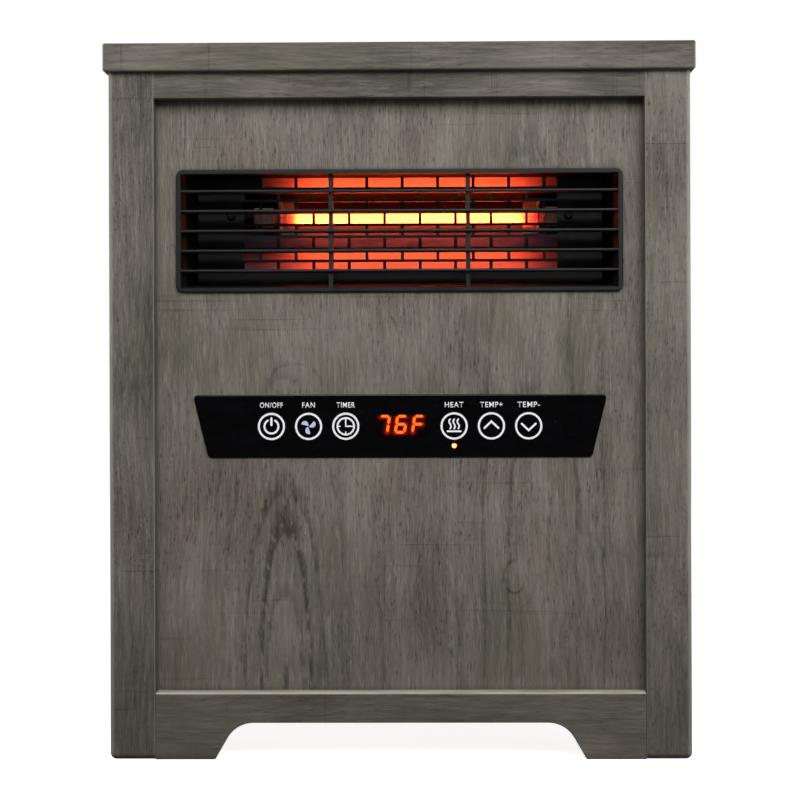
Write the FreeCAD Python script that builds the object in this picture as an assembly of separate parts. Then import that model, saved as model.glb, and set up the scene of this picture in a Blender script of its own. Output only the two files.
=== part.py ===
"""Cabinet space heater: a wooden frame-and-panel box with arched feet, a louvred hot-air outlet over a
glowing quartz tube, a ceramic (PTC) heating core fed by a cross-flow blower, a press-key control panel in
front, and a filter, a rocker switch and a cord gland in the rear cover.

Millimetres. x runs to the right of somebody facing the heater, y towards its back, z up. The origin is on
the floor under the centre of the cabinet. Each function makes one piece, and each piece is written to
parts/NAME.step.
"""

import FreeCAD, Part

import math
import os

from FreeCAD import Vector

X_AXIS, Y_AXIS, Z_AXIS = Vector(1, 0, 0), Vector(0, 1, 0), Vector(0, 0, 1)

# ---- Overall sizes
cap_width = 336.0
cap_depth = 282.0
overall_height = 407.0

# ---- Wooden cabinet
cap_thickness = 16.0
cap_overhang_side = 2.5
cap_overhang_front = 4.0  # the same at the back
cap_edge_radius = 1.2
post_size = 26.0
post_corner_radius = 3.5
wood_edge_radius = 0.7
rail_thickness = 20.0
rail_setback = 0.4  # the rails' show faces lie this far behind the posts'
top_rail_height = 15.0
bottom_rail_height = 38.0
bottom_rail_bevel = 1.6
arch_rise = 20.7
arch_radius = 17.0
arch_slope_degrees = 60.0
foot_length = 34.0  # of a bottom rail's foot, from the post to where the arch starts
panel_recess = 10.0
panel_thickness = 6.0
groove_depth = 6.0
groove_play = 0.15  # each side of a panel or a tenon in its groove
end_play = 0.6  # between a panel or tenon and the bottom of its groove
base_board_thickness = 9.0
cleat_height = 8.0
cleat_width = 14.0

# ---- Fits
thread_play = 0.03  # radial, between a screw and its pilot hole
hole_play = 0.25  # radial, between a screw and a clearance hole
running_play = 0.05  # radial, between a shaft and its bearing
seat_play = 0.2  # around a piece that sits in a pocket or a cut-out

# ---- Hot-air outlet
outlet_drop = 39.8  # from the top rail down to the bezel
outlet_height = 70.3
outlet_side_gap = 11.75  # from the post to the bezel
bezel_width = 2.5
bezel_proud = 2.0
bezel_corner_radius = 4.0
bezel_edge_radius = 0.6
grille_depth = 23.0  # behind the front panel's face
grille_wall = 1.2
grille_flare = 7.7  # the side walls lean in this far towards the back
grille_sill_rise = 3.6  # the floor climbs this far towards the back
louver_count = 5
louver_pitch = 11.4
louver_thickness = 1.8
louver_depth = 14.0
rib_offset = 39.4  # of the two upright ribs from the middle
rib_thickness = 2.4

# ---- Guard plate
sheet = 0.8
guard_thickness = 1.0
guard_margin = 6.0  # the plate stands this far past the grille, above and below
slot_rows = 8
slot_row_pitch = 7.03
slot_height = 5.5
slot_pitch = 20.7
slot_web = 1.75
slot_pattern_offset = 1.4
slot_side_blank = 36.0  # from the bezel's edge to the first slot
slot_field_rise = 4.95  # of the slots' middle above the grille's
guard_screw_inset = 29.4  # from the bezel's edge

# ---- Quartz tube and reflector
reflector_rise = 2.0  # of the reflector's middle above the slots'
tube_rise = 3.4  # of the tube above the reflector's middle
tube_behind_guard = 16.0
tube_radius = 4.3
tube_wall = 1.1
coil_radius = 2.6
tail_radius = 0.8
tube_offset = 5.3  # of the tube's middle to the right
tube_end_gap = 9.2  # from a tube end to the slots' end
tube_cap_length = 12.0
tube_cap_size = 11.0
tube_cap_overlap = 3.0
coil_end_gap = 13.0
clip_thickness = 1.0
reflector_sheet = 0.6
reflector_lip = 4.0
reflector_facet_reach = 16.0  # the slanting facets' depth and height
reflector_image_offset = 23.0  # facets' middle above and below the reflector's middle, in line with the tube
reflector_slots_at = (-16.0, -4.1, 7.7, 19.4)  # from the reflector's middle; each lies behind a louver
reflector_slot_height = 2.3
reflector_slot_web = 2.4
reflector_slot_inset = 16.0  # from a tube end to the slots' end

# ---- Heater duct and ceramic core
duct_side_room = 7.0  # past the slots' end
duct_length = 58.0
core_depth = 15.0
core_behind_guard = 39.0
core_row_height = 11.0
core_bar_height = 4.5
core_bar_rows = 3
core_fin_pitch = 4.0
core_fin_thickness = 0.4
core_end_length = 8.0
thermal_radius = 8.0
thermal_before_core = 7.0

# ---- Blower and its motor
throat_length = 14.0  # from the duct to the impeller
impeller_radius = 28.0
impeller_blades = 24
blade_depth = 8.0
blade_thickness = 1.0
impeller_disc_thickness = 2.0
impeller_end_gap = 4.0
scroll_gap = 3.0
scroll_growth = 0.6  # of the gap, from the scroll's top edge to the throat's floor
tongue_gap = 2.0
tongue_drop = 7.0  # from the throat's roof to the tongue's upper lip
tongue_arc_degrees = 20.0
end_plate_thickness = 2.0
end_plate_margin = 5.0
blower_flange = 7.0
shaft_radius = 2.5
bearing_radius = 6.0
bearing_length = 8.0
motor_gap = 10.0
motor_core_length = 16.0
motor_core_size = 48.0
rotor_radius = 11.0
rotor_end_gap = 1.0  # from the rotor to the bridge at each end
bridge_thickness = 2.0
coil_half_width = 9.0  # of the stator's middle leg
coil_height = 14.0
coil_wrap = 8.0
coil_overhang = 7.0
air_gap = 0.5

# ---- Control panel
control_drop = 169.0  # from the top rail down to the fascia
fascia_height = 36.0
fascia_side_gap = 20.9  # from the post to the fascia's upper corner
fascia_taper = 8.9  # the lower corners lie this far further in
fascia_corner_radius = 2.4
fascia_thickness = 2.5
fascia_proud = 1.0
key_names = ("power", "fan", "timer", "heat", "temp_up", "temp_down")
key_pitch = 21.3
first_key_offset = 31.0
key_radius = 8.2
key_play = 0.3
key_travel = 0.5
key_stop_gap = 0.3  # left at the end of a key's travel
key_stem_radius = 3.0
key_collar_radius = 4.5
key_collar_thickness = 1.0
key_collar_gap = 0.3  # behind the wall that guides the stem
display_width = 31.0
display_height = 14.0
indicator_radius = 1.6
indicator_drop = 11.3
carrier_wall = 2.0
carrier_inset = 4.5
carrier_flange = 7.0
carrier_depth = 10.4  # from the front wall's back to the circuit board
carrier_screw_inset = 8.0
carrier_screw_step = 52.0
board_thickness = 1.6
tact_body = 6.0
tact_height = 4.3

# ---- Rear cover and what is in it
cover_thickness = 2.5
cover_recess = 5.0  # its seat lies this far inside the posts' back faces
rabbet_width = 10.0
cover_play = 0.4
cover_bottom_gap = 3.3  # above the arch
cover_top_gap = 2.0  # under the cap
cover_corner_radius = 4.0
filter_width = 196.0
filter_height = 150.0
filter_drop = 50.0  # from the top of the frame to the pocket
pocket_depth = 12.0
grid_columns = 6
grid_rows = 9
grid_bar = 6.0
grid_edge = 8.0
filter_play = 0.5
filter_bar = 9.0
filter_slat_count = 11
filter_slat_thickness = 2.2
gland_bore = 4.2
gland_body_radius = 8.0
gland_flange_radius = 11.0
gland_flange_thickness = 2.5
gland_length = 16.0
service_rise = 36.0  # of the gland and the rocker above the bottom rail
cover_vent_count = 7
cover_vent_x = 30.0
cover_vent_pitch = 8.0
cover_vent_width = 3.5
cover_vent_length = 36.0
gland_side = 95.0
rocker_side = 50.0
rocker_length = 18.0
rocker_width = 12.0
rocker_play = 0.4
switch_bezel = 2.5
switch_wall = 1.6
switch_depth = 19.0

# ---- Inside the cabinet
cap_bracket_length = 20.0
cap_bracket_drop = 11.0
cap_bracket_reach = 20.0
cap_bracket_sheet = 1.2
module_bracket_reach = 12.0
module_bracket_height = 52.0
vent_count = 6
vent_pitch = 9.0
vent_width = 4.0
vent_length = 52.0
power_board_length = 120.0
power_board_width = 84.0
power_board_x = -40.0
power_board_y = 20.0
standoff_height = 8.0
standoff_radius = 3.0
standoff_inset = 5.0
standoff_plug_radius = 2.0
standoff_plug_depth = 4.0
tilt_side_gap = 45.0  # from the post to the tilt switch
tilt_y = 10.0
tilt_foot_half_width = 22.0
tilt_foot_half_depth = 12.0
tilt_foot_thickness = 2.0
tilt_cheek_gap = 16.0
tilt_cheek_thickness = 2.0
tilt_cheek_half_depth = 9.0
tilt_box_height = 11.0
tilt_pin_radius = 1.5
tilt_eye_radius = 3.6
tilt_arm_length = 22.0
tilt_arm_width = 4.0
tilt_bob_radius = 6.0
tilt_bob_width = 10.0
tilt_swing_room = 6.0  # from the hanging weight to the foot
tilt_screw_inset = 5.0

# ---- Fasteners: shank radius, shank length, head radius, head height
wood_screw = (1.6, 13.0, 3.2, 2.0)
short_wood_screw = (1.6, 9.0, 3.2, 2.0)
base_screw = (1.6, 14.0, 3.2, 2.0)
panel_screw = (1.4, 5.0, 2.6, 1.6)
sheet_screw = (1.4, 6.0, 2.6, 1.8)
power_board_screw = (1.4, 7.0, 2.6, 1.6)
board_screw = (1.1, 5.0, 2.0, 1.4)

# ---- Worked out from the above
body_half_width = cap_width / 2 - cap_overhang_side
body_half_depth = cap_depth / 2 - cap_overhang_front
frame_top = overall_height - cap_thickness
opening_half_width = body_half_width - post_size
opening_half_depth = body_half_depth - post_size
opening_top = frame_top - top_rail_height
opening_bottom = bottom_rail_height
panel_front = -body_half_depth + panel_recess
panel_back = panel_front + panel_thickness
side_rail_inside = body_half_width - rail_setback - rail_thickness
front_rail_inside = -body_half_depth + rail_setback + rail_thickness
base_top = bottom_rail_height
base_bottom = base_top - base_board_thickness
first_vent_x = 25.5
vent_y = panel_back + 25.0

bezel_half_width = opening_half_width - outlet_side_gap
outlet_z = opening_top - outlet_drop - outlet_height / 2
grille_half_width = bezel_half_width - bezel_width + grille_wall
grille_half_height = outlet_height / 2 - bezel_width + grille_wall
grille_back = panel_front + grille_depth
guard_back = grille_back + guard_thickness
slots_half_width = bezel_half_width - slot_side_blank
slots_z = outlet_z + slot_field_rise
guard_half_height = grille_half_height + guard_margin
guard_screw_x = bezel_half_width - guard_screw_inset

reflector_z = slots_z + reflector_rise
tube_y = guard_back + tube_behind_guard
tube_z = reflector_z + tube_rise
tube_half_length = slots_half_width - tube_end_gap
duct_half_width = slots_half_width + duct_side_room
reflector_half_back = reflector_image_offset - reflector_facet_reach / 2
reflector_half_front = reflector_image_offset + reflector_facet_reach / 2
reflector_half_length = duct_half_width - 1.0
facet_front = tube_y - reflector_facet_reach / 2
reflector_back = tube_y + reflector_facet_reach / 2
duct_half_height = reflector_half_front + reflector_sheet
duct_back = guard_back + duct_length
core_front = guard_back + core_behind_guard
core_half_height = (core_bar_rows * core_bar_height + (core_bar_rows + 1) * core_row_height) / 2
core_half_width = duct_half_width - core_end_length - 1.0
thermal_y = core_front - thermal_before_core

impeller_y = duct_back + throat_length + impeller_radius
scroll_radius = impeller_radius + scroll_gap + scroll_growth
impeller_z = reflector_z - duct_half_height + scroll_radius
impeller_half_length = duct_half_width - impeller_end_gap
end_plate_outside = duct_half_width + end_plate_thickness
motor_start = end_plate_outside + motor_gap
motor_end = motor_start + motor_core_length
coil_low = impeller_z + rotor_radius + 4.0

fascia_top = opening_top - control_drop
fascia_half_width = opening_half_width - fascia_side_gap
fascia_front = panel_front - fascia_proud
fascia_back = fascia_front + fascia_thickness
keys_z = fascia_top - fascia_height / 2
carrier_front = fascia_back
board_front = carrier_front + carrier_wall + carrier_depth
key_thickness = fascia_thickness - key_travel - key_stop_gap
key_stem_end = board_front - tact_height - key_travel - key_stop_gap

cover_inside = body_half_depth - cover_recess
cover_outside = cover_inside + cover_thickness
cover_half_width = opening_half_width + rabbet_width - cover_play
cover_bottom = arch_rise + cover_bottom_gap
cover_top = frame_top - cover_top_gap
filter_z = frame_top - filter_drop - filter_height / 2
service_z = bottom_rail_height + service_rise
switch_half_length = rocker_length / 2 + rocker_play + switch_wall
switch_half_width = rocker_width / 2 + rocker_play + switch_wall


# ---- Shapes that several pieces use


def block(x0, x1, y0, y1, z0, z1):
    return Part.makeBox(x1 - x0, y1 - y0, z1 - z0, Vector(x0, y0, z0))


def rod(radius, start, direction, length):
    return Part.makeCylinder(radius, length, start, direction)


def rounded_wire(corners):
    """A closed wire through corners, each a point and a radius: a tangent arc where the radius isn't 0."""
    ends, arcs = [], []
    for i, (point, radius) in enumerate(corners):
        before = (corners[i - 1][0] - point).normalize()
        after = (corners[(i + 1) % len(corners)][0] - point).normalize()
        if radius == 0:
            ends.append((point, point))
            arcs.append(None)
            continue
        half_angle = before.getAngle(after) / 2
        reach = radius / math.tan(half_angle)
        middle = (before + after).normalize() * (radius / math.sin(half_angle) - radius)
        start, end = point + before * reach, point + after * reach
        ends.append((start, end))
        arcs.append(Part.Arc(start, point + middle, end).toShape())
    edges = []
    for i, arc in enumerate(arcs):
        if arc is not None:
            edges.append(arc)
        start, end = ends[i][1], ends[(i + 1) % len(ends)][0]
        if start.distanceToPoint(end) > 1e-6:
            edges.append(Part.LineSegment(start, end).toShape())
    return Part.Wire(edges)


def plate(corners, thickness_vector, holes=()):
    """A plate from rounded_wire corners, with more wires as holes, as thick as the vector is long."""
    face = Part.Face([rounded_wire(corners)] + [rounded_wire(hole) for hole in holes])
    face.validate()
    return face.extrude(thickness_vector)


def upright_rectangle(half_width, half_height, y, centre_z, radius=0.0, centre_x=0.0):
    """The corners of a rectangle that faces the front."""
    return [
        (Vector(centre_x + sx * half_width, y, centre_z + sz * half_height), radius)
        for sx, sz in ((-1, -1), (1, -1), (1, 1), (-1, 1))
    ]


def soften(shape, radius, wanted):
    """Rounds the edges that wanted(edge's bounding box) picks."""
    picked = [edge for edge in shape.Edges if wanted(edge.BoundBox)]
    return shape.makeFillet(radius, picked) if picked else shape


def near(a, b):
    return abs(a - b) < 1e-4


def screw(size, head_face, direction):
    """A pan-head screw. head_face is the middle of the face under its head, direction the way it drives."""
    shank_radius, shank_length, head_radius, head_height = size
    top = head_face - direction * head_height
    head = rod(head_radius, top, direction, head_height)
    rim = [edge for edge in head.Edges if near(edge.BoundBox.Center.distanceToPoint(top), 0)]
    head = head.makeFillet(head_height * 0.4, rim)
    sideways = Z_AXIS if abs(direction.dot(Z_AXIS)) < 0.5 else X_AXIS
    across = direction.cross(sideways)
    slot_width, slot_length, slot_depth = head_radius * 0.24, head_radius * 1.1, head_height * 0.5
    for one, other in ((sideways, across), (across, sideways)):
        corner = top - one * (slot_length / 2) - other * (slot_width / 2)
        points = [
            corner,
            corner + one * slot_length,
            corner + one * slot_length + other * slot_width,
            corner + other * slot_width,
            corner,
        ]
        head = head.cut(Part.Face(Part.makePolygon(points)).extrude(direction * slot_depth))
    return head.fuse(rod(shank_radius, head_face, direction, shank_length)).removeSplitter()


def pilot(size, head_face, direction, play=thread_play):
    """The hole that a screw's shank needs, to cut from what it goes through."""
    shank_radius, shank_length = size[0], size[1]
    return rod(shank_radius + play, head_face - direction, direction, shank_length + 1.5)


def drilled(shape, size, places, play=thread_play):
    """shape with a pilot hole at each (head_face, direction)."""
    for head_face, direction in places:
        shape = shape.cut(pilot(size, head_face, direction, play))
    return shape


def screws(size, places):
    return Part.makeCompound([screw(size, *place) for place in places])


def turned(shape, side):
    """Moves a shape made in a side's own frame to that side. There x runs along the side, y inward from the
    posts' outer faces and z up."""
    angle = {"front": 0, "right": 90, "rear": 180, "left": -90}[side]
    offset = {
        "front": Vector(0, -body_half_depth, 0),
        "right": Vector(body_half_width, 0, 0),
        "rear": Vector(0, body_half_depth, 0),
        "left": Vector(-body_half_width, 0, 0),
    }[side]
    moved = shape.copy()
    moved.rotate(Vector(0, 0, 0), Z_AXIS, angle)
    moved.translate(offset)
    return moved


# ---- Where the screws go: the middle of the face under each head, and the way it drives

cover_screw_x = opening_half_width + rabbet_width / 2
cover_screw_rows = [cover_bottom + 16.0, (cover_bottom + cover_top) / 2, cover_top - 26.0]
cover_screws_at = [
    (Vector(sign * cover_screw_x, cover_outside, z), -Y_AXIS)
    for sign in (-1, 1)
    for z in cover_screw_rows
] + [
    (Vector(sign * opening_half_width * 0.45, cover_outside, z), -Y_AXIS)
    for sign in (-1, 1)
    for z in (cover_bottom + 7.5, opening_top + top_rail_height * 0.45)
]
guard_screws_at = [(Vector(sign * guard_screw_x, grille_back, tube_z), Y_AXIS) for sign in (-1, 1)]
grille_screw_x = grille_half_width - grille_wall - grille_flare / 2
grille_screws_at = [
    (Vector(sx * grille_screw_x, guard_back + sheet, outlet_z + sz * grille_half_height * 0.62), -Y_AXIS)
    for sx in (-1, 1)
    for sz in (-1, 1)
]
module_screws_at = [
    (Vector(sign * (grille_half_width + 7.5), panel_back + sheet, outlet_z + dz), -Y_AXIS)
    for sign in (-1, 1)
    for dz in (-18.0, 18.0)
]
carrier_screw_x = fascia_half_width - fascia_taper - carrier_screw_inset
carrier_screws_at = [
    (Vector(sign * x, panel_back + carrier_wall, z), -Y_AXIS)
    for sign in (-1, 1)
    for x in (carrier_screw_x, carrier_screw_x - carrier_screw_step)
    for z in (fascia_top - 1.0, fascia_top - fascia_height + 1.0)
]
board_half_width = first_key_offset + 2 * key_pitch + tact_body / 2 + 2.5
board_half_height = fascia_height / 2 - carrier_inset - carrier_wall - 0.8
board_screw_x = first_key_offset + 1.5 * key_pitch  # between two keys
board_screw_up = board_half_height - 3.5
board_screws_at = [
    (Vector(sx * board_screw_x, board_front + board_thickness, keys_z + sz * board_screw_up), -Y_AXIS)
    for sx in (-1, 1)
    for sz in (-1, 1)
]
cap_bracket_ys = (-opening_half_depth * 0.55, opening_half_depth * 0.55)
cap_screws_at = []
for side_sign in (-1, 1):
    for bracket_y in cap_bracket_ys:
        upright_x = side_sign * (side_rail_inside - cap_bracket_sheet)
        level_x = side_sign * (side_rail_inside - cap_bracket_reach * 0.65)
        cap_screws_at += [
            (Vector(upright_x, bracket_y, frame_top - cap_bracket_drop * 0.6), X_AXIS * side_sign),
            (Vector(level_x, bracket_y, frame_top - cap_bracket_sheet), Z_AXIS),
        ]
base_screws_at = [
    (Vector(sign * (side_rail_inside - cleat_width / 2), y, base_top), -Z_AXIS)
    for sign in (-1, 1)
    for y in (-opening_half_depth * 0.7, 0.0, opening_half_depth * 0.7)
]
power_board_bottom = base_top + standoff_height
power_board_top = power_board_bottom + board_thickness
standoff_x = power_board_length / 2 - standoff_inset
standoff_y = power_board_width / 2 - standoff_inset
standoffs_at = [
    Vector(power_board_x + sx * standoff_x, power_board_y + sy * standoff_y, base_top)
    for sx in (-1, 1)
    for sy in (-1, 1)
]
power_board_screws_at = [(Vector(at.x, at.y, power_board_top), -Z_AXIS) for at in standoffs_at]
tilt_x = opening_half_width - tilt_side_gap
tilt_pivot_z = base_top + tilt_foot_thickness + tilt_swing_room + tilt_bob_radius + tilt_arm_length
tilt_screw_x = tilt_foot_half_width - tilt_screw_inset
tilt_screws_at = [
    (Vector(tilt_x + sign * tilt_screw_x, tilt_y, base_top + tilt_foot_thickness), -Z_AXIS)
    for sign in (-1, 1)
]
blower_screw_x = duct_half_width + sheet + blower_flange * 0.6
blower_screws_at = [
    (Vector(sx * blower_screw_x, duct_back + sheet, reflector_z + sz * 20.0), -Y_AXIS)
    for sx in (-1, 1)
    for sz in (-1, 1)
]


# ---- Wooden cabinet


def cap():
    body = block(-cap_width / 2, cap_width / 2, -cap_depth / 2, cap_depth / 2, frame_top, overall_height)
    body = body.makeFillet(cap_edge_radius, body.Edges)
    return drilled(body, short_wood_screw, [place for place in cap_screws_at if place[1].z > 0.5])


def post(side_x, side_y):
    """A corner post with a groove, or mortises where there is no panel, in each inward face."""
    inner_x, inner_y = opening_half_width, opening_half_depth
    body = block(inner_x, body_half_width, inner_y, body_half_depth, 0, frame_top)

    def is_foot_or_corner(box):
        outer_corner = near(box.XMin, body_half_width) and near(box.YMin, body_half_depth)
        foot = near(box.ZMax, 0) and (near(box.XMin, body_half_width) or near(box.YMin, body_half_depth))
        return outer_corner or foot

    body = soften(body, post_corner_radius, is_foot_or_corner)
    body = soften(
        body,
        wood_edge_radius,
        lambda box: near(box.XLength, 0) and near(box.YLength, 0) and not near(box.XMin, body_half_width),
    )
    slot_low = panel_recess - groove_play
    slot_high = panel_recess + panel_thickness + groove_play
    y0, y1 = body_half_depth - slot_high, body_half_depth - slot_low
    x0, x1 = body_half_width - slot_high, body_half_width - slot_low
    along_front = block(inner_x - 1, inner_x + groove_depth, y0, y1, -1, frame_top + 1)
    along_side = block(x0, x1, inner_y - 1, inner_y + groove_depth, -1, frame_top + 1)
    if side_y > 0:  # the rear has rails but no panel, so only mortises
        along_front = along_front.cut(
            block(0, body_half_width, 0, body_half_depth, opening_bottom, opening_top)
        )
    body = body.cut(along_front).cut(along_side)
    if side_y > 0:
        body = body.cut(
            block(
                inner_x - 1,
                inner_x + rabbet_width,
                cover_inside,
                body_half_depth + 1,
                cover_bottom - cover_play,
                frame_top + 1,
            )
        )
    if side_x < 0:
        body = body.mirror(Vector(0, 0, 0), X_AXIS)
    if side_y < 0:
        body = body.mirror(Vector(0, 0, 0), Y_AXIS)
    return drilled(body, wood_screw, cover_screws_at) if side_y > 0 else body


def tenons(half_length, low, high):
    reach = groove_depth - end_play
    return [
        block(
            min(sign * (half_length - 1), sign * (half_length + reach)),
            max(sign * (half_length - 1), sign * (half_length + reach)),
            panel_recess,
            panel_recess + panel_thickness,
            low,
            high,
        )
        for sign in (-1, 1)
    ]


def panel_groove(half_length, low, high):
    return block(
        -half_length - 1,
        half_length + 1,
        panel_recess - groove_play,
        panel_recess + panel_thickness + groove_play,
        low,
        high,
    )


def top_rail(half_length, setback, has_panel):
    body = block(-half_length, half_length, setback, setback + rail_thickness, opening_top, frame_top)
    body = soften(
        body, wood_edge_radius, lambda box: near(box.YMax, setback) and near(box.ZMax, opening_top)
    )
    if has_panel:
        body = body.cut(panel_groove(half_length, opening_top - 1, opening_top + groove_depth))
    tenon_low = opening_top + (groove_depth if has_panel else 0)
    return body.multiFuse(tenons(half_length, tenon_low, frame_top)).removeSplitter()


def bottom_rail(half_length, setback, has_panel):
    """A rail that ends in feet, with an arch between them."""
    arch_half = half_length - foot_length
    arch_top_half = arch_half - arch_rise / math.tan(math.radians(arch_slope_degrees))
    outline = [
        (Vector(-half_length, setback, 0), 0.0),
        (Vector(-arch_half, setback, 0), 1.5),
        (Vector(-arch_top_half, setback, arch_rise), arch_radius),
        (Vector(arch_top_half, setback, arch_rise), arch_radius),
        (Vector(arch_half, setback, 0), 1.5),
        (Vector(half_length, setback, 0), 0.0),
        (Vector(half_length, setback, opening_bottom), 0.0),
        (Vector(-half_length, setback, opening_bottom), 0.0),
    ]
    body = plate(outline, Y_AXIS * rail_thickness)

    def is_top_front(box):
        return near(box.YMax, setback) and near(box.ZMin, opening_bottom)

    def is_arch_front(box):
        below = box.ZMax < opening_bottom - 1
        return near(box.YMax, setback) and below and box.XLength < 2 * half_length - 1

    if has_panel:
        body = soften(body, bottom_rail_bevel, is_top_front)
        body = body.cut(panel_groove(half_length, opening_bottom - groove_depth, opening_bottom + 1))
    body = soften(body, wood_edge_radius, is_arch_front)
    tenon_high = opening_bottom - (groove_depth if has_panel else 0)
    return body.multiFuse(tenons(half_length, 0, tenon_high)).removeSplitter()


def plain_panel(half_length):
    reach = groove_depth - end_play
    return block(
        -half_length - reach,
        half_length + reach,
        panel_recess,
        panel_recess + panel_thickness,
        opening_bottom - reach,
        opening_top + reach,
    )


def side_top_rail(side):
    rail = turned(top_rail(opening_half_depth, rail_setback, True), side)
    return drilled(rail, short_wood_screw, [place for place in cap_screws_at if abs(place[1].x) > 0.5])


def rear_rail(is_top):
    make = top_rail if is_top else bottom_rail
    rail = turned(make(opening_half_width, cover_recess, False), "rear")
    return drilled(rail, wood_screw, cover_screws_at)


def fascia_corners(grow, y, radius):
    """The fascia's outline, grown all round."""
    slant = fascia_taper / fascia_height
    side_grow = grow * math.sqrt(1 + slant * slant)
    top, bottom = fascia_top + grow, fascia_top - fascia_height - grow
    top_half = fascia_half_width + side_grow + grow * slant
    bottom_half = fascia_half_width - fascia_taper + side_grow - grow * slant
    return [
        (Vector(-bottom_half, y, bottom), radius),
        (Vector(bottom_half, y, bottom), radius),
        (Vector(top_half, y, top), radius),
        (Vector(-top_half, y, top), radius),
    ]


def front_panel():
    """The recessed front, cut out for the outlet grille and the control panel."""
    body = turned(plain_panel(opening_half_width), "front")
    outlet = upright_rectangle(
        grille_half_width + seat_play, grille_half_height + seat_play, panel_front - 1, outlet_z
    )
    body = body.cut(plate(outlet, Y_AXIS * (panel_thickness + 2)))
    pocket = fascia_corners(seat_play, panel_front - 1, fascia_corner_radius)
    body = body.cut(plate(pocket, Y_AXIS * (1 + fascia_back - panel_front)))
    window = fascia_corners(seat_play - carrier_inset, panel_front - 1, 1.5)
    body = body.cut(plate(window, Y_AXIS * (panel_thickness + 2)))
    body = drilled(body, panel_screw, module_screws_at)
    return drilled(body, panel_screw, carrier_screws_at)


def side_panel(side):
    return turned(plain_panel(opening_half_depth), side)


def base_board():
    """The floor of the cabinet, notched round the posts."""
    gap = 0.5
    half_x = side_rail_inside - gap
    front, back = front_rail_inside + gap, body_half_depth - cover_recess - rail_thickness - gap
    body = block(-half_x, half_x, front, back, base_bottom, base_top)
    for sx in (-1, 1):
        for y0, y1 in ((front - 1, -opening_half_depth + gap), (opening_half_depth - gap, back + 1)):
            x0, x1 = sorted((sx * (opening_half_width - gap), sx * (half_x + 1)))
            body = body.cut(block(x0, x1, y0, y1, base_bottom - 1, base_top + 1))
    for n in range(vent_count):
        x = first_vent_x + n * vent_pitch
        body = body.cut(
            block(x, x + vent_width, vent_y, vent_y + vent_length, base_bottom - 1, base_top + 1)
        )
    body = drilled(body, base_screw, base_screws_at)
    body = drilled(body, sheet_screw, tilt_screws_at)
    for at in standoffs_at:
        hole_depth = standoff_plug_depth + 2
        body = body.cut(rod(standoff_plug_radius + thread_play, at + Z_AXIS, -Z_AXIS, hole_depth))
    return body


def base_cleats():
    cleats = []
    for sign in (-1, 1):
        x0, x1 = sorted((sign * side_rail_inside, sign * (side_rail_inside - cleat_width)))
        half_y = opening_half_depth - 1.0
        cleat = block(x0, x1, -half_y, half_y, base_bottom - cleat_height, base_bottom)
        cleats.append(drilled(cleat, base_screw, base_screws_at))
    return Part.makeCompound(cleats)


# ---- Hot-air outlet


def outlet_grille():
    """Bezel, flared side walls, sloping sill, louvers and two upright ribs, moulded in one."""
    front = panel_front - bezel_proud
    inner_half_width = bezel_half_width - bezel_width
    inner_half_height = outlet_height / 2 - bezel_width
    body = plate(
        upright_rectangle(bezel_half_width, outlet_height / 2, front, outlet_z, bezel_corner_radius),
        Y_AXIS * bezel_proud,
    )
    body = soften(body, bezel_edge_radius, lambda box: near(box.YMax, front))
    body = body.fuse(
        block(
            -grille_half_width,
            grille_half_width,
            panel_front,
            grille_back,
            outlet_z - grille_half_height,
            outlet_z + grille_half_height,
        )
    )
    low = outlet_z - inner_half_height
    passage = [
        (Vector(-inner_half_width, front - 1, low), 0.0),
        (Vector(inner_half_width, front - 1, low), 0.0),
        (Vector(inner_half_width, panel_front, low), 0.0),
        (Vector(inner_half_width - grille_flare, grille_back + 1, low), 0.0),
        (Vector(-inner_half_width + grille_flare, grille_back + 1, low), 0.0),
        (Vector(-inner_half_width, panel_front, low), 0.0),
    ]
    body = body.cut(plate(passage, Z_AXIS * (2 * inner_half_height)))
    sill = [
        (Vector(-inner_half_width, panel_front, low), 0.0),
        (Vector(-inner_half_width, grille_back, low), 0.0),
        (Vector(-inner_half_width, grille_back, low + grille_sill_rise), 0.0),
    ]
    body = body.fuse(plate(sill, X_AXIS * (2 * inner_half_width)))
    louver_front = panel_front - bezel_proud / 4
    for n in range(louver_count):
        z = outlet_z + (n - (louver_count - 1) / 2) * louver_pitch
        profile = [
            (Vector(-inner_half_width - 0.5, louver_front, z + louver_thickness / 2), 0.7),
            (Vector(-inner_half_width - 0.5, louver_front, z - louver_thickness / 2), 0.7),
            (Vector(-inner_half_width - 0.5, louver_front + louver_depth, z - louver_thickness / 3), 0.0),
            (Vector(-inner_half_width - 0.5, louver_front + louver_depth, z + louver_thickness / 3), 0.0),
        ]
        body = body.fuse(plate(profile, X_AXIS * (2 * inner_half_width + 1)))
    for sign in (-1, 1):
        x = sign * rib_offset
        body = body.fuse(
            block(
                x - rib_thickness / 2,
                x + rib_thickness / 2,
                louver_front + 2.5,
                louver_front + louver_depth - 1.5,
                low - 0.5,
                low + 2 * inner_half_height + 0.5,
            )
        )
    return drilled(body.removeSplitter(), sheet_screw, grille_screws_at)


def slot_intervals(offset):
    """The slots of one row, cut off at the ends of the slotted field."""
    first = -math.ceil((slots_half_width + slot_pitch) / slot_pitch)
    intervals = []
    for n in range(first, -first + 1):
        start = offset + n * slot_pitch + slot_web / 2
        end = start + slot_pitch - slot_web
        start, end = max(start, -slots_half_width), min(end, slots_half_width)
        if end - start > 2.0:
            intervals.append((start, end))
    return intervals


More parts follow.
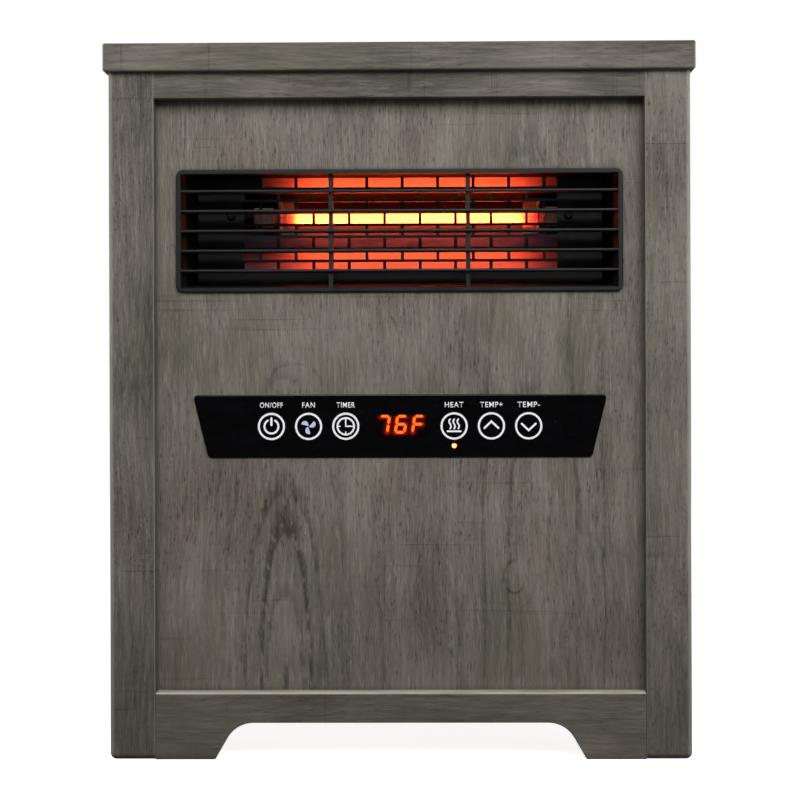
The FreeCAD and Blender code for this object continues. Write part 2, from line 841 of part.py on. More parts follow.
def element_guard():
    """A steel plate with slots laid like bricks, so that fingers stay off the tube. The top row lacks its
    leftmost slot."""
    holes = []
    for row in range(slot_rows):
        z = slots_z + ((slot_rows - 1) / 2 - row) * slot_row_pitch
        shift = slot_pattern_offset + (slot_pitch / 2 if row % 2 else 0)
        for start, end in slot_intervals(shift)[0 if row else 1 :]:
            middle, half = (start + end) / 2, (end - start) / 2
            holes.append(upright_rectangle(half, slot_height / 2, grille_back, z, 0.0, middle))
    outline = upright_rectangle(grille_half_width, guard_half_height, grille_back, outlet_z, 3.0)
    body = plate(outline, Y_AXIS * guard_thickness, holes)
    body = drilled(body, sheet_screw, guard_screws_at, hole_play)
    return drilled(body, sheet_screw, grille_screws_at, hole_play)


# ---- Quartz tube and reflector


def quartz_tube():
    start = Vector(tube_offset - tube_half_length, tube_y, tube_z)
    outside = rod(tube_radius, start, X_AXIS, 2 * tube_half_length)
    return outside.cut(rod(tube_radius - tube_wall, start - X_AXIS, X_AXIS, 2 * tube_half_length + 2))


def heating_coil():
    """The room that the wound wire takes, and its straight ends, out through the caps to their tabs."""
    coil_half = tube_half_length - coil_end_gap
    body = rod(coil_radius, Vector(tube_offset - coil_half, tube_y, tube_z), X_AXIS, 2 * coil_half)
    tail_length = coil_end_gap + tube_cap_length - tube_cap_overlap + 0.6
    for sign in (-1, 1):
        start = Vector(tube_offset + sign * coil_half, tube_y, tube_z)
        body = body.fuse(rod(tail_radius, start, X_AXIS * sign, tail_length))
        x0, x1 = sorted((start.x + sign * (tail_length - 0.3), start.x + sign * (tail_length + 0.7)))
        body = body.fuse(block(x0, x1, tube_y - 2.5, tube_y + 2.5, tube_z - 3.0, tube_z + 3.0))
    return body.removeSplitter()


def tube_end_caps():
    """Two ceramic blocks that slip over the ends of the tube."""
    half = tube_cap_size / 2
    caps = []
    for sign in (-1, 1):
        inner = tube_offset + sign * (tube_half_length - tube_cap_overlap)
        x0, x1 = sorted((inner, inner + sign * tube_cap_length))
        body = block(x0, x1, tube_y - half, tube_y + half, tube_z - half, tube_z + half)
        body = body.makeFillet(1.0, body.Edges)
        start = Vector(inner - sign, tube_y, tube_z)
        socket_length = 1 + tube_cap_overlap + running_play
        body = body.cut(rod(tube_radius + running_play, start, X_AXIS * sign, socket_length))
        caps.append(body.cut(rod(tail_radius + hole_play, start, X_AXIS * sign, tube_cap_length + 2)))
    return Part.makeCompound(caps)


def tube_clips():
    """Two steel plates that stand on the reflector's back and hold the tube just inside its caps."""
    clips = []
    back = reflector_back - clip_thickness
    for sign in (-1, 1):
        x = tube_offset + sign * (tube_half_length - tube_cap_overlap - 3.0)
        x0, x1 = sorted((x, x - sign * clip_thickness))
        foot = sorted((x, x - sign * 9.0))
        clip = block(x0, x1, tube_y - 9.0, back + clip_thickness, tube_z - 9.5, tube_z + 9.5).fuse(
            block(foot[0], foot[1], back, back + clip_thickness, tube_z - 9.5, tube_z + 9.5)
        )
        clip = clip.cut(rod(tube_radius + 0.3, Vector(x0 - 1, tube_y, tube_z), X_AXIS, clip_thickness + 2))
        clips.append(clip.removeSplitter())
    return Part.makeCompound(clips)


def reflector():
    """A bright aluminium trough: a flat back, a 45-degree facet above and below it, and lips that meet the
    duct. Its long air slots run straight behind the louvers."""
    skin = reflector_sheet
    bend = skin * math.tan(math.radians(22.5))
    inner = [
        (facet_front - reflector_lip, reflector_half_front),
        (facet_front, reflector_half_front),
        (reflector_back, reflector_half_back),
    ]
    outer = [
        (facet_front - reflector_lip, reflector_half_front + skin),
        (facet_front + bend, reflector_half_front + skin),
        (reflector_back + skin, reflector_half_back + bend),
    ]
    outline = inner + [(y, -z) for y, z in inner[::-1]] + [(y, -z) for y, z in outer] + outer[::-1]
    corners = [(Vector(-reflector_half_length, y, reflector_z + z), 0.0) for y, z in outline]
    body = plate(corners, X_AXIS * (2 * reflector_half_length))
    reach = tube_half_length - reflector_slot_inset
    half_web = reflector_slot_web / 2
    edges = [
        tube_offset - reach,
        -rib_offset - half_web,
        -rib_offset + half_web,
        rib_offset - half_web,
        rib_offset + half_web,
        tube_offset + reach,
    ]
    slots = []
    for dz in reflector_slots_at:
        half = reflector_slot_height / 2
        front = reflector_back - max(0.0, abs(dz) + half - reflector_half_back) - 1.0
        z0, z1 = reflector_z + dz - half, reflector_z + dz + half
        for x0, x1 in zip(edges[::2], edges[1::2]):
            slots.append(block(x0, x1, front, reflector_back + skin + 1, z0, z1))
    return body.cut(Part.makeCompound(slots))


# ---- Duct, ceramic core and safety devices


def heater_duct():
    """Folded sheet: a front flange behind the guard, a square tube, and ears for the blower at its back."""
    half_x, half_z = duct_half_width + sheet, duct_half_height + sheet
    body = block(
        -grille_half_width - 2.5,
        grille_half_width + 2.5,
        guard_back,
        guard_back + sheet,
        outlet_z - guard_half_height,
        outlet_z + guard_half_height,
    )
    low, high = reflector_z - half_z, reflector_z + half_z
    body = body.fuse(block(-half_x, half_x, guard_back, duct_back, low, high))
    for sign in (-1, 1):
        x0, x1 = sorted((sign * duct_half_width, sign * (half_x + blower_flange)))
        body = body.fuse(block(x0, x1, duct_back - sheet, duct_back, low, high))
    body = body.cut(
        block(
            -duct_half_width,
            duct_half_width,
            guard_back - 1,
            duct_back + 1,
            reflector_z - duct_half_height,
            reflector_z + duct_half_height,
        )
    )
    body = drilled(body.removeSplitter(), sheet_screw, guard_screws_at)
    body = drilled(body, sheet_screw, grille_screws_at, hole_play)
    body = drilled(body, sheet_screw, blower_screws_at)
    top = Vector(0, thermal_y, reflector_z + half_z)
    return body.cut(rod(thermal_radius - 1.5, top - Z_AXIS * 3, Z_AXIS, 4))


def steel_brackets():
    """Four angles under the cap, and two that hang the duct on the back of the front panel."""
    brackets = []
    for sign in (-1, 1):
        face = sign * side_rail_inside
        upright = sorted((face, face - sign * cap_bracket_sheet))
        level = sorted((face, face - sign * cap_bracket_reach))
        for y in cap_bracket_ys:
            y0, y1 = y - cap_bracket_length / 2, y + cap_bracket_length / 2
            bracket = block(*upright, y0, y1, frame_top - cap_bracket_drop, frame_top)
            bracket = bracket.fuse(block(*level, y0, y1, frame_top - cap_bracket_sheet, frame_top))
            brackets.append(drilled(bracket.removeSplitter(), short_wood_screw, cap_screws_at, hole_play))
        inner = sign * (grille_half_width + hole_play)
        wall = sorted((inner, sign * (grille_half_width + module_bracket_reach)))
        arm = sorted((inner, inner + sign * sheet))
        low, high = outlet_z - module_bracket_height / 2, outlet_z + module_bracket_height / 2
        bracket = block(*wall, panel_back, panel_back + sheet, low, high)
        bracket = bracket.fuse(block(*arm, panel_back, guard_back, low, high))
        brackets.append(drilled(bracket.removeSplitter(), panel_screw, module_screws_at, hole_play))
    return Part.makeCompound(brackets)


def core_rows():
    """The middle heights of the ceramic bars and of the fin rows between them."""
    step = core_bar_height + core_row_height
    bars = [reflector_z + (n - (core_bar_rows - 1) / 2) * step for n in range(core_bar_rows)]
    fins = [reflector_z + (n - core_bar_rows / 2) * step for n in range(core_bar_rows + 1)]
    return bars, fins


def ceramic_core():
    """The heating bars, and the two heat-proof end blocks that clamp them in the duct."""
    core_back = core_front + core_depth
    solids = [
        block(
            -core_half_width,
            core_half_width,
            core_front,
            core_back,
            z - core_bar_height / 2,
            z + core_bar_height / 2,
        )
        for z in core_rows()[0]
    ]
    low, high = reflector_z - core_half_height, reflector_z + core_half_height
    for sign in (-1, 1):
        x0, x1 = sorted((sign * core_half_width, sign * duct_half_width))
        solids.append(block(x0, x1, core_front - 1.5, core_back + 1.5, low, high))
    return Part.makeCompound(solids)


def core_fins():
    """Zigzag aluminium strip, one row above and below each ceramic bar."""
    steps = int(2 * core_half_width // core_fin_pitch)
    start = -steps * core_fin_pitch / 2
    slope = math.hypot(core_row_height, core_fin_pitch) / core_fin_pitch
    rise = core_fin_thickness * slope  # the strip's thickness, measured straight up
    rows = []
    for z in core_rows()[1]:
        low = z - core_row_height / 2 + 0.05
        high = z + core_row_height / 2 - 0.05 - rise
        heights = [high if n % 2 else low for n in range(steps + 1)]
        lower = [Vector(start + n * core_fin_pitch, core_front, height) for n, height in enumerate(heights)]
        upper = [point + Z_AXIS * rise for point in reversed(lower)]
        strip = Part.Face(Part.makePolygon(lower + upper + lower[:1]))
        rows.append(strip.extrude(Y_AXIS * core_depth))
    return Part.makeCompound(rows)


def thermal_devices():
    """A bimetal disc thermostat on top of the duct, and a one-shot fuse in line with it."""
    top = reflector_z + duct_half_height + sheet
    at = Vector(0, thermal_y, top)
    cutout = rod(thermal_radius, at, Z_AXIS, 6.0)
    cutout = cutout.fuse(rod(thermal_radius - 1.5 - hole_play, at - Z_AXIS * 1.5, Z_AXIS, 2.0))
    cutout = cutout.fuse(block(-12.0, 12.0, thermal_y - 4.0, thermal_y + 4.0, top, top + sheet))
    for sign in (-1, 1):
        x0, x1 = sorted((sign * 3.0, sign * 6.3))
        cutout = cutout.fuse(block(x0, x1, thermal_y - 0.4, thermal_y + 0.4, top + 5.5, top + 13.0))
    start = Vector(26.0, thermal_y, top + 2.6)
    fuse = rod(2.0, start, X_AXIS, 12.0).fuse(rod(0.5, start - X_AXIS * 12.0, X_AXIS, 36.0))
    fuse = fuse.fuse(block(29.0, 35.0, thermal_y - 3.5, thermal_y + 3.5, top, top + 1.2))
    return Part.makeCompound([cutout.removeSplitter(), fuse.removeSplitter()])


# ---- Blower and its motor


def impeller():
    """A cross-flow drum: curved blades between three discs."""
    outer, inner = impeller_radius, impeller_radius - blade_depth
    lean = math.radians(16.0)
    tip = Vector(-impeller_half_length, 0, outer - 0.3)
    root = Vector(-impeller_half_length, inner * math.sin(lean), inner * math.cos(lean))
    chord = (root - tip).normalize()
    normal = X_AXIS.cross(chord)
    middle = (tip + root) * 0.5 + normal * 1.6
    shift = normal * blade_thickness
    outline = Part.Wire(
        [
            Part.Arc(tip, middle, root).toShape(),
            Part.LineSegment(root, root + shift).toShape(),
            Part.Arc(root + shift, middle + shift, tip + shift).toShape(),
            Part.LineSegment(tip + shift, tip).toShape(),
        ]
    )
    blade = Part.Face(outline).extrude(X_AXIS * (2 * impeller_half_length))
    pieces = []
    for n in range(impeller_blades):
        turned_blade = blade.copy()
        turned_blade.rotate(Vector(0, 0, 0), X_AXIS, 360.0 * n / impeller_blades)
        pieces.append(turned_blade)
    disc_starts = (
        -impeller_half_length,
        -impeller_disc_thickness / 2,
        impeller_half_length - impeller_disc_thickness,
    )
    for n, start in enumerate(disc_starts):
        disc = rod(outer, Vector(start, 0, 0), X_AXIS, impeller_disc_thickness)
        if n == 1:
            disc = disc.cut(rod(inner - 1.0, Vector(start - 1, 0, 0), X_AXIS, impeller_disc_thickness + 2))
        pieces.append(disc)
    hub_length = 6.0
    pieces.append(rod(6.0, Vector(-impeller_half_length, 0, 0), X_AXIS, hub_length))
    pieces.append(rod(6.0, Vector(impeller_half_length - hub_length, 0, 0), X_AXIS, hub_length))
    body = pieces[0].multiFuse(pieces[1:])
    bore_start = Vector(-impeller_half_length - 1, 0, 0)
    body = body.cut(rod(shaft_radius, bore_start, X_AXIS, 2 * impeller_half_length + 2))
    body.translate(Vector(0, impeller_y, impeller_z))
    return body


def motor_rotor():
    """The rotor on the shaft that it shares with the impeller."""
    shaft_start = -end_plate_outside - bearing_length / 2 - 1.0
    shaft_end = motor_end + bridge_thickness + 8.0
    body = rod(shaft_radius, Vector(shaft_start, impeller_y, impeller_z), X_AXIS, shaft_end - shaft_start)
    at = Vector(motor_start + rotor_end_gap, impeller_y, impeller_z)
    return body.fuse(rod(rotor_radius, at, X_AXIS, motor_core_length - 2 * rotor_end_gap)).removeSplitter()


def motor_core():
    """The laminated stator of a shaded-pole motor, with its rotor hole and the window for the coil."""
    half = motor_core_size / 2
    low = impeller_z - half
    body = block(
        motor_start, motor_end, impeller_y - half, impeller_y + half, low, low + motor_core_size + 8.0
    )
    body = soften(body, 3.0, lambda box: near(box.YLength, 0) and near(box.ZLength, 0))
    at = Vector(motor_start - 1, impeller_y, impeller_z)
    body = body.cut(rod(rotor_radius + air_gap, at, X_AXIS, motor_core_length + 2))
    for sign in (-1, 1):
        inner = impeller_y + sign * coil_half_width
        y0, y1 = sorted((inner, inner + sign * coil_wrap))
        body = body.cut(
            block(motor_start - 1, motor_end + 1, y0, y1, coil_low, coil_low + coil_height)
        )
    return body


def motor_coil():
    """The winding on its bobbin, round the stator's middle leg."""
    reach = coil_half_width + coil_wrap - seat_play
    low, high = coil_low + seat_play, coil_low + coil_height - seat_play
    body = block(
        motor_start - coil_overhang,
        motor_end + coil_overhang,
        impeller_y - reach,
        impeller_y + reach,
        low,
        high,
    )
    body = soften(body, 3.0, lambda box: near(box.XLength, 0) and near(box.YLength, 0))
    return body.cut(
        block(
            motor_start - seat_play,
            motor_end + seat_play,
            impeller_y - coil_half_width - seat_play,
            impeller_y + coil_half_width + seat_play,
            low - 1,
            high + 1,
        )
    )


def motor_bridge():
    """Two pressed plates that carry the motor's bushes; the inner one's legs stand on the blower."""
    half = motor_core_size / 2
    plates = []
    for x, outward, leg in ((motor_start, -1, True), (motor_end, 1, False)):
        x0, x1 = sorted((x, x + outward * bridge_thickness))
        arm = block(x0, x1, impeller_y - half, impeller_y + half, impeller_z - 7.0, impeller_z + 7.0)
        axis = Vector(x, impeller_y, impeller_z)
        arm = arm.fuse(rod(bearing_radius, axis, X_AXIS * outward, bridge_thickness + 2.0))
        for sign in (-1, 1) if leg else ():
            y0, y1 = sorted((impeller_y + sign * half, impeller_y + sign * (half - 5.0)))
            arm = arm.fuse(block(end_plate_outside, x1, y0, y1, impeller_z - 6.0, impeller_z + 6.0))
        hole = rod(shaft_radius + running_play, axis - X_AXIS * 8.0, X_AXIS, 16.0)
        plates.append(arm.removeSplitter().cut(hole))
    return Part.makeCompound(plates)


def around_impeller(radius, degrees):
    """A point in the blower's section: 0 degrees is straight back, 90 straight up."""
    angle = math.radians(degrees)
    return Vector(
        -duct_half_width,
        impeller_y + radius * math.cos(angle),
        impeller_z + radius * math.sin(angle),
    )


def blower_scroll():
    """The spiral sheet behind and under the impeller, which runs on as the floor of the throat."""
    stations = (
        (impeller_radius + scroll_gap, 25),
        (scroll_radius + 0.3, -35),
        (scroll_radius, -90),
    )
    inner = [around_impeller(radius, degrees) for radius, degrees in stations]
    outer = [around_impeller(radius + sheet, degrees) for radius, degrees in stations]
    front_inner = Vector(-duct_half_width, duct_back, impeller_z - scroll_radius)
    front_outer = front_inner - Z_AXIS * sheet
    edges = [
        Part.Arc(*inner).toShape(),
        Part.LineSegment(inner[2], front_inner).toShape(),
        Part.LineSegment(front_inner, front_outer).toShape(),
        Part.LineSegment(front_outer, outer[2]).toShape(),
        Part.Arc(*outer[::-1]).toShape(),
        Part.LineSegment(outer[0], inner[0]).toShape(),
    ]
    return Part.Face(Part.Wire(edges)).extrude(X_AXIS * (2 * duct_half_width))


def blower_tongue():
    """The lip that parts the throat from the intake, and the throat's roof."""
    radius = impeller_radius + tongue_gap
    roof = reflector_z + duct_half_height
    top_degrees = 180 - math.degrees(math.asin((roof - tongue_drop - impeller_z) / radius))
    lip = [around_impeller(radius, top_degrees + part * tongue_arc_degrees) for part in (0, 0.5, 1)]
    points = [
        lip[2],
        Vector(-duct_half_width, lip[2].y, roof - 6.0),
        Vector(-duct_half_width, duct_back, roof - sheet),
        Vector(-duct_half_width, duct_back, roof),
        Vector(-duct_half_width, lip[0].y, roof),
        lip[0],
    ]
    edges = [Part.Arc(*lip).toShape()]
    edges += [Part.LineSegment(a, b).toShape() for a, b in zip(points, points[1:])]
    return Part.Face(Part.Wire(edges)).extrude(X_AXIS * (2 * duct_half_width))


def blower_end_plate(sign):
    """An end wall of the blower, with the flange that bolts to the duct."""
    x0, x1 = sorted((sign * duct_half_width, sign * end_plate_outside))
    back = impeller_y + scroll_radius + end_plate_margin / 2
    low = reflector_z - duct_half_height - sheet
    high = impeller_z + scroll_radius + end_plate_margin
    body = block(x0, x1, duct_back, back, low, high)
    body = soften(body, 8.0, lambda box: near(box.YMin, back) and box.YLength + box.ZLength < 1e-3)
    ear = sorted((sign * duct_half_width, sign * (duct_half_width + sheet + blower_flange)))
    return body.fuse(
        block(ear[0], ear[1], duct_back, duct_back + sheet, low, reflector_z + duct_half_height + sheet)
    )


def blower_housing():
    """The cross-flow blower's shell: scroll, tongue and end plates, with a bearing boss on the left."""
    body = blower_scroll().multiFuse([blower_tongue(), blower_end_plate(-1), blower_end_plate(1)])
    motor_side = Vector(duct_half_width - 1.0, impeller_y, impeller_z)
    body = body.cut(rod(bearing_radius, motor_side, X_AXIS, end_plate_thickness + 2.0))
    boss = Vector(-end_plate_outside - bearing_length / 2, impeller_y, impeller_z)
    body = body.fuse(rod(bearing_radius, boss, X_AXIS, bearing_length / 2 + end_plate_thickness))
    body = body.cut(rod(shaft_radius + running_play, boss - X_AXIS, X_AXIS, bearing_length + 2.0))
    return drilled(body.removeSplitter(), sheet_screw, blower_screws_at, hole_play)


# ---- Control panel


def key_x(name):
    """Three keys each side of the display, named from left to right."""
    n = key_names.index(name)
    half = len(key_names) // 2
    if n < half:
        return -first_key_offset - (half - 1 - n) * key_pitch
    return first_key_offset + (n - half) * key_pitch


def control_fascia():
    """The glossy black plate, with a hole for each key, the display lens and the indicator."""
    holes = [upright_rectangle(display_width / 2, display_height / 2, fascia_front, keys_z, 1.0)]
    body = plate(fascia_corners(0.0, fascia_front, fascia_corner_radius), Y_AXIS * fascia_thickness, holes)

    def is_outline(box):
        beside_display = box.XMin > display_width or box.XMax < -display_width
        return near(box.YMax, fascia_front) and (box.XLength > display_width + 2 or beside_display)

    body = soften(body, 0.5, is_outline)
    for name in key_names:
        at = Vector(key_x(name), fascia_front - 1, keys_z)
        body = body.cut(rod(key_radius + key_play, at, Y_AXIS, fascia_thickness + 2))
    at = Vector(key_x("heat"), fascia_front - 1, keys_z - indicator_drop)
    return body.cut(rod(indicator_radius + running_play, at, Y_AXIS, fascia_thickness + 2))


def key(name):
    """A round key: a disc flush with the fascia, a stem to the switch and a collar that keeps it in."""
    at = Vector(key_x(name), fascia_front, keys_z)
    disc = rod(key_radius, at, Y_AXIS, key_thickness)
    disc = soften(disc, 0.15, lambda box: near(box.YMax, fascia_front))
    stem = rod(key_stem_radius, at, Y_AXIS, key_stem_end - fascia_front)
    collar_at = Vector(at.x, carrier_front + carrier_wall + key_collar_gap, at.z)
    collar = rod(key_collar_radius, collar_at, Y_AXIS, key_collar_thickness)
    return disc.fuse(stem).fuse(collar).removeSplitter()


def display_lens():
    return plate(
        upright_rectangle(display_width / 2 - 0.05, display_height / 2 - 0.05, fascia_front, keys_z, 0.95),
        Y_AXIS * fascia_thickness,
    )


def heat_indicator():
    at = Vector(key_x("heat"), fascia_front, keys_z - indicator_drop)
    body = rod(indicator_radius, at, Y_AXIS, fascia_thickness + carrier_wall)
    return soften(body, 0.3, lambda box: near(box.YMax, fascia_front))


def control_carrier():
    """The moulded tray behind the fascia: it guides the keys and holds the circuit board."""
    front = carrier_front
    depth = panel_back + carrier_wall - front
    body = plate(fascia_corners(-carrier_inset, front, 1.5), Y_AXIS * depth)
    flange = fascia_corners(carrier_flange - carrier_inset, panel_back, 2.0)
    body = body.fuse(plate(flange, Y_AXIS * carrier_wall))
    inside = fascia_corners(-carrier_inset - carrier_wall, front + carrier_wall, 0.5)
    body = body.cut(plate(inside, Y_AXIS * (depth + 1)))
    for head, _ in board_screws_at:
        boss_at = Vector(head.x, front + carrier_wall, head.z)
        body = body.fuse(rod(2.4, boss_at, Y_AXIS, carrier_depth))
    body = body.removeSplitter()
    for name in key_names:
        at = Vector(key_x(name), front - 1, keys_z)
        body = body.cut(rod(key_stem_radius + key_play, at, Y_AXIS, carrier_wall + 2))
    window = upright_rectangle(display_width / 2 + 0.5, display_height / 2 - 0.5, front - 1, keys_z)
    body = body.cut(plate(window, Y_AXIS * (carrier_wall + 2)))
    at = Vector(key_x("heat"), front - 1, keys_z - indicator_drop)
    body = body.cut(rod(indicator_radius + running_play, at, Y_AXIS, carrier_wall + 2))
    body = drilled(body, board_screw, board_screws_at)
    return drilled(body, panel_screw, carrier_screws_at, hole_play)


def control_board():
    """The circuit board, with a push switch behind each key and the digits' block behind the lens."""
    body = block(
        -board_half_width,
        board_half_width,
        board_front,
        board_front + board_thickness,
        keys_z - board_half_height,
        keys_z + board_half_height,
    )
    solids = [drilled(body, board_screw, board_screws_at, hole_play)]
    half = tact_body / 2
    for name in key_names:
        x = key_x(name)
        case_front = board_front - tact_height + 1.0
        switch = block(x - half, x + half, case_front, board_front, keys_z - half, keys_z + half)
        plunger = rod(1.7, Vector(x, board_front - tact_height, keys_z), Y_AXIS, tact_height)
        solids.append(switch.fuse(plunger).removeSplitter())
    half_width, half_height = display_width / 2 - 1.0, display_height / 2 - 1.0
    low, high = keys_z - half_height, keys_z + half_height
    solids.append(block(-half_width, half_width, board_front - 7.0, board_front, low, high))
    return Part.makeCompound(solids)


# ---- Rear cover and what is in it


def rear_cover():
    """The moulded back: a filter pocket with an intake grid, and holes for the switch and the gland."""
    half_height, middle = (cover_top - cover_bottom) / 2, (cover_bottom + cover_top) / 2
    outline = upright_rectangle(cover_half_width, half_height, cover_inside, middle, cover_corner_radius)
    body = plate(outline, Y_AXIS * cover_thickness)
    half_w, half_h = filter_width / 2 + filter_play, filter_height / 2 + filter_play
    wall = cover_thickness
    pocket_back = cover_outside - pocket_depth
    shell = plate(
        upright_rectangle(half_w + wall, half_h + wall, pocket_back - wall, filter_z, 5.0),
        Y_AXIS * (cover_outside - pocket_back + wall),
    )
    body = body.fuse(shell)
    body = body.cut(
        plate(upright_rectangle(half_w, half_h, pocket_back, filter_z, 3.0), Y_AXIS * (pocket_depth + 1))
    )
    body = body.removeSplitter()
    cell_w = (2 * half_w - 2 * grid_edge - grid_bar * (grid_columns - 1)) / grid_columns
    cell_h = (2 * half_h - 2 * grid_edge - grid_bar * (grid_rows - 1)) / grid_rows
    grid = []
    for column in range(grid_columns):
        for row in range(grid_rows):
            x = -half_w + grid_edge + column * (cell_w + grid_bar)
            z = filter_z - half_h + grid_edge + row * (cell_h + grid_bar)
            grid.append(block(x, x + cell_w, pocket_back - wall - 1, pocket_back + 1, z, z + cell_h))
    body = body.cut(Part.makeCompound(grid))
    vent_low, vent_high = service_z - cover_vent_length / 2, service_z + cover_vent_length / 2
    for n in range(cover_vent_count):
        x = cover_vent_x + n * cover_vent_pitch
        vent = block(x, x + cover_vent_width, cover_inside - 1, cover_outside + 1, vent_low, vent_high)
        body = body.cut(vent)
    gland_at = Vector(-gland_side, cover_inside - 1, service_z)
    body = body.cut(rod(gland_body_radius + seat_play / 2, gland_at, Y_AXIS, cover_thickness + 2))
    half_long, half_wide = switch_half_length + seat_play, switch_half_width + seat_play
    window = upright_rectangle(half_wide, half_long, cover_inside - 1, service_z, 0.0, -rocker_side)
    body = body.cut(plate(window, Y_AXIS * (cover_thickness + 2)))
    return drilled(body, wood_screw, cover_screws_at, hole_play)


def filter_frame():
    """The lift-out intake grille: a frame with slats and a finger scoop at the top."""
    half_w, half_h = filter_width / 2, filter_height / 2
    front = cover_outside
    depth = pocket_depth - 3.0
    body = plate(
        upright_rectangle(half_w, half_h, front - depth, filter_z, 2.6),
        Y_AXIS * depth,
    )
    body = soften(body, 0.8, lambda box: near(box.YMin, front))
    inner_w, inner_h = half_w - filter_bar, half_h - filter_bar
    body = body.cut(
        plate(upright_rectangle(inner_w, inner_h, front - depth - 1, filter_z, 2.0), Y_AXIS * (depth + 2))
    )
    pitch = 2 * inner_h / (filter_slat_count + 1)
    slats = []
    for n in range(filter_slat_count):
        z = filter_z - inner_h + (n + 1) * pitch
        slats.append(
            block(
                -inner_w - 0.5,
                inner_w + 0.5,
                front - 4.0,
                front - 1.0,
                z - filter_slat_thickness / 2,
                z + filter_slat_thickness / 2,
            )
        )
    low, high = filter_z - inner_h - 0.5, filter_z + inner_h + 0.5
    for x in (-inner_w / 3, inner_w / 3):
        slats.append(block(x - 1.2, x + 1.2, front - 4.5, front - 1.5, low, high))
    body = body.multiFuse(slats).removeSplitter()
    scoop = rod(6.5, Vector(-16.0, front + 3.5, filter_z + half_h - 1.5), X_AXIS, 32.0)
    return body.cut(scoop)


def filter_mesh():
    """The washable mesh behind the filter's slats."""
    half_w, half_h = filter_width / 2 - 1.5, filter_height / 2 - 1.5
    back = cover_outside - pocket_depth + 3.0
    return block(-half_w, half_w, back - 1.6, back, filter_z - half_h, filter_z + half_h)


def cord_gland():
    """The bush that a mains cord passes through."""
    at = Vector(-gland_side, cover_outside + gland_flange_thickness, service_z)
    body = rod(gland_flange_radius, at, -Y_AXIS, gland_flange_thickness)
    body = soften(body, 0.8, lambda box: near(box.YMin, at.y) and near(box.YLength, 0))
    body = body.fuse(rod(gland_body_radius, at, -Y_AXIS, gland_length))
    nut_start = Vector(at.x, cover_inside, at.z)
    nut = [
        (nut_start + Vector(math.cos(math.radians(a)) * 11.0, 0, math.sin(math.radians(a)) * 11.0), 0.0)
        for a in range(0, 360, 60)
    ]
    body = body.fuse(plate(nut, -Y_AXIS * 4.0)).removeSplitter()
    return body.cut(rod(gland_bore, at + Y_AXIS, -Y_AXIS, gland_length + 2))


def rocker_axis():
    return Vector(-rocker_side, cover_outside + 0.5, service_z)


def switch_housing():
    """The body of the mains rocker switch, snapped into the cover from outside."""
    half_l, half_w = switch_half_length, switch_half_width
    x, z = -rocker_side, service_z
    body = block(
        x - half_w, x + half_w, cover_outside - switch_depth, cover_outside, z - half_l, z + half_l
    )
    rim = block(
        x - half_w - 1.5,
        x + half_w + 1.5,
        cover_outside,
        cover_outside + switch_bezel,
        z - half_l - 1.5,
        z + half_l + 1.5,
    )
    rim = soften(rim, 1.0, lambda box: near(box.YMin, cover_outside + switch_bezel))
    body = body.fuse(rim).removeSplitter()
    reach = rocker_length / 2 + rocker_play
    cavity = block(
        x - rocker_width / 2 - rocker_play,
        x + rocker_width / 2 + rocker_play,
        rocker_axis().y - reach,
        cover_outside + switch_bezel + 1,
        z - reach,
        z + reach,
    )
    body = body.cut(cavity)
    for dz in (-7.0, 0.0, 7.0):
        back = cover_outside - switch_depth
        body = body.fuse(block(x - 3.0, x + 3.0, back - 8.0, back + 1.0, z + dz - 0.4, z + dz + 0.4))
    pin_start = Vector(x - rocker_width / 2 - rocker_play - 0.5, rocker_axis().y, z)
    return body.fuse(rod(1.0, pin_start, X_AXIS, rocker_width + 2 * rocker_play + 1)).removeSplitter()


def rocker_button():
    """The rocker, pressed in at its top: two faces that meet in a shallow valley over the pivot."""
    axis = rocker_axis()
    reach = rocker_length / 2
    x = axis.x - rocker_width / 2
    proud = switch_bezel + 0.5

    def at(up, out):
        return Vector(x, axis.y + out, axis.z + up)

    top_edge = (math.sqrt(reach**2 - 1.0**2), 1.0)
    low_edge = (-math.sqrt(reach**2 - (proud + 1.8) ** 2), proud + 1.8)
    corners = [
        (at(*top_edge), 0.0),
        (at(0.0, proud - 1.4), 0.0),
        (at(*low_edge), 0.0),
        (at(-reach * 0.93, -2.0), 0.0),
        (at(-3.0, -4.5), 0.0),
        (at(3.0, -4.5), 0.0),
        (at(reach * 0.93, -2.0), 0.0),
    ]
    body = plate(corners, X_AXIS * rocker_width)
    body = body.common(rod(reach, Vector(x - 1, axis.y, axis.z), X_AXIS, rocker_width + 2))
    body = body.cut(rod(1.0 + running_play, Vector(x - 1, axis.y, axis.z), X_AXIS, rocker_width + 2))
    return body


# ---- Inside the cabinet


def power_board():
    """The board that switches the heaters, on four standoffs pushed into the base board."""
    half_x, half_y = power_board_length / 2, power_board_width / 2
    body = block(
        power_board_x - half_x,
        power_board_x + half_x,
        power_board_y - half_y,
        power_board_y + half_y,
        power_board_bottom,
        power_board_top,
    )
    solids = [drilled(body, power_board_screw, power_board_screws_at, hole_play)]
    for at in standoffs_at:
        plug = rod(standoff_plug_radius, at, -Z_AXIS, standoff_plug_depth)
        standoff = rod(standoff_radius, at, Z_AXIS, standoff_height).fuse(plug).removeSplitter()
        solids.append(drilled(standoff, power_board_screw, power_board_screws_at))
    return Part.makeCompound(solids)


def on_board(x, y, width, depth, height):
    """A block that stands on the power board, placed from the board's middle."""
    at_x, at_y = power_board_x + x, power_board_y + y
    top = power_board_top + height
    return block(
        at_x - width / 2, at_x + width / 2, at_y - depth / 2, at_y + depth / 2, power_board_top, top
    )


def can(x, y, radius, height):
    """A capacitor that stands on the power board."""
    return rod(radius, Vector(power_board_x + x, power_board_y + y, power_board_top), Z_AXIS, height)


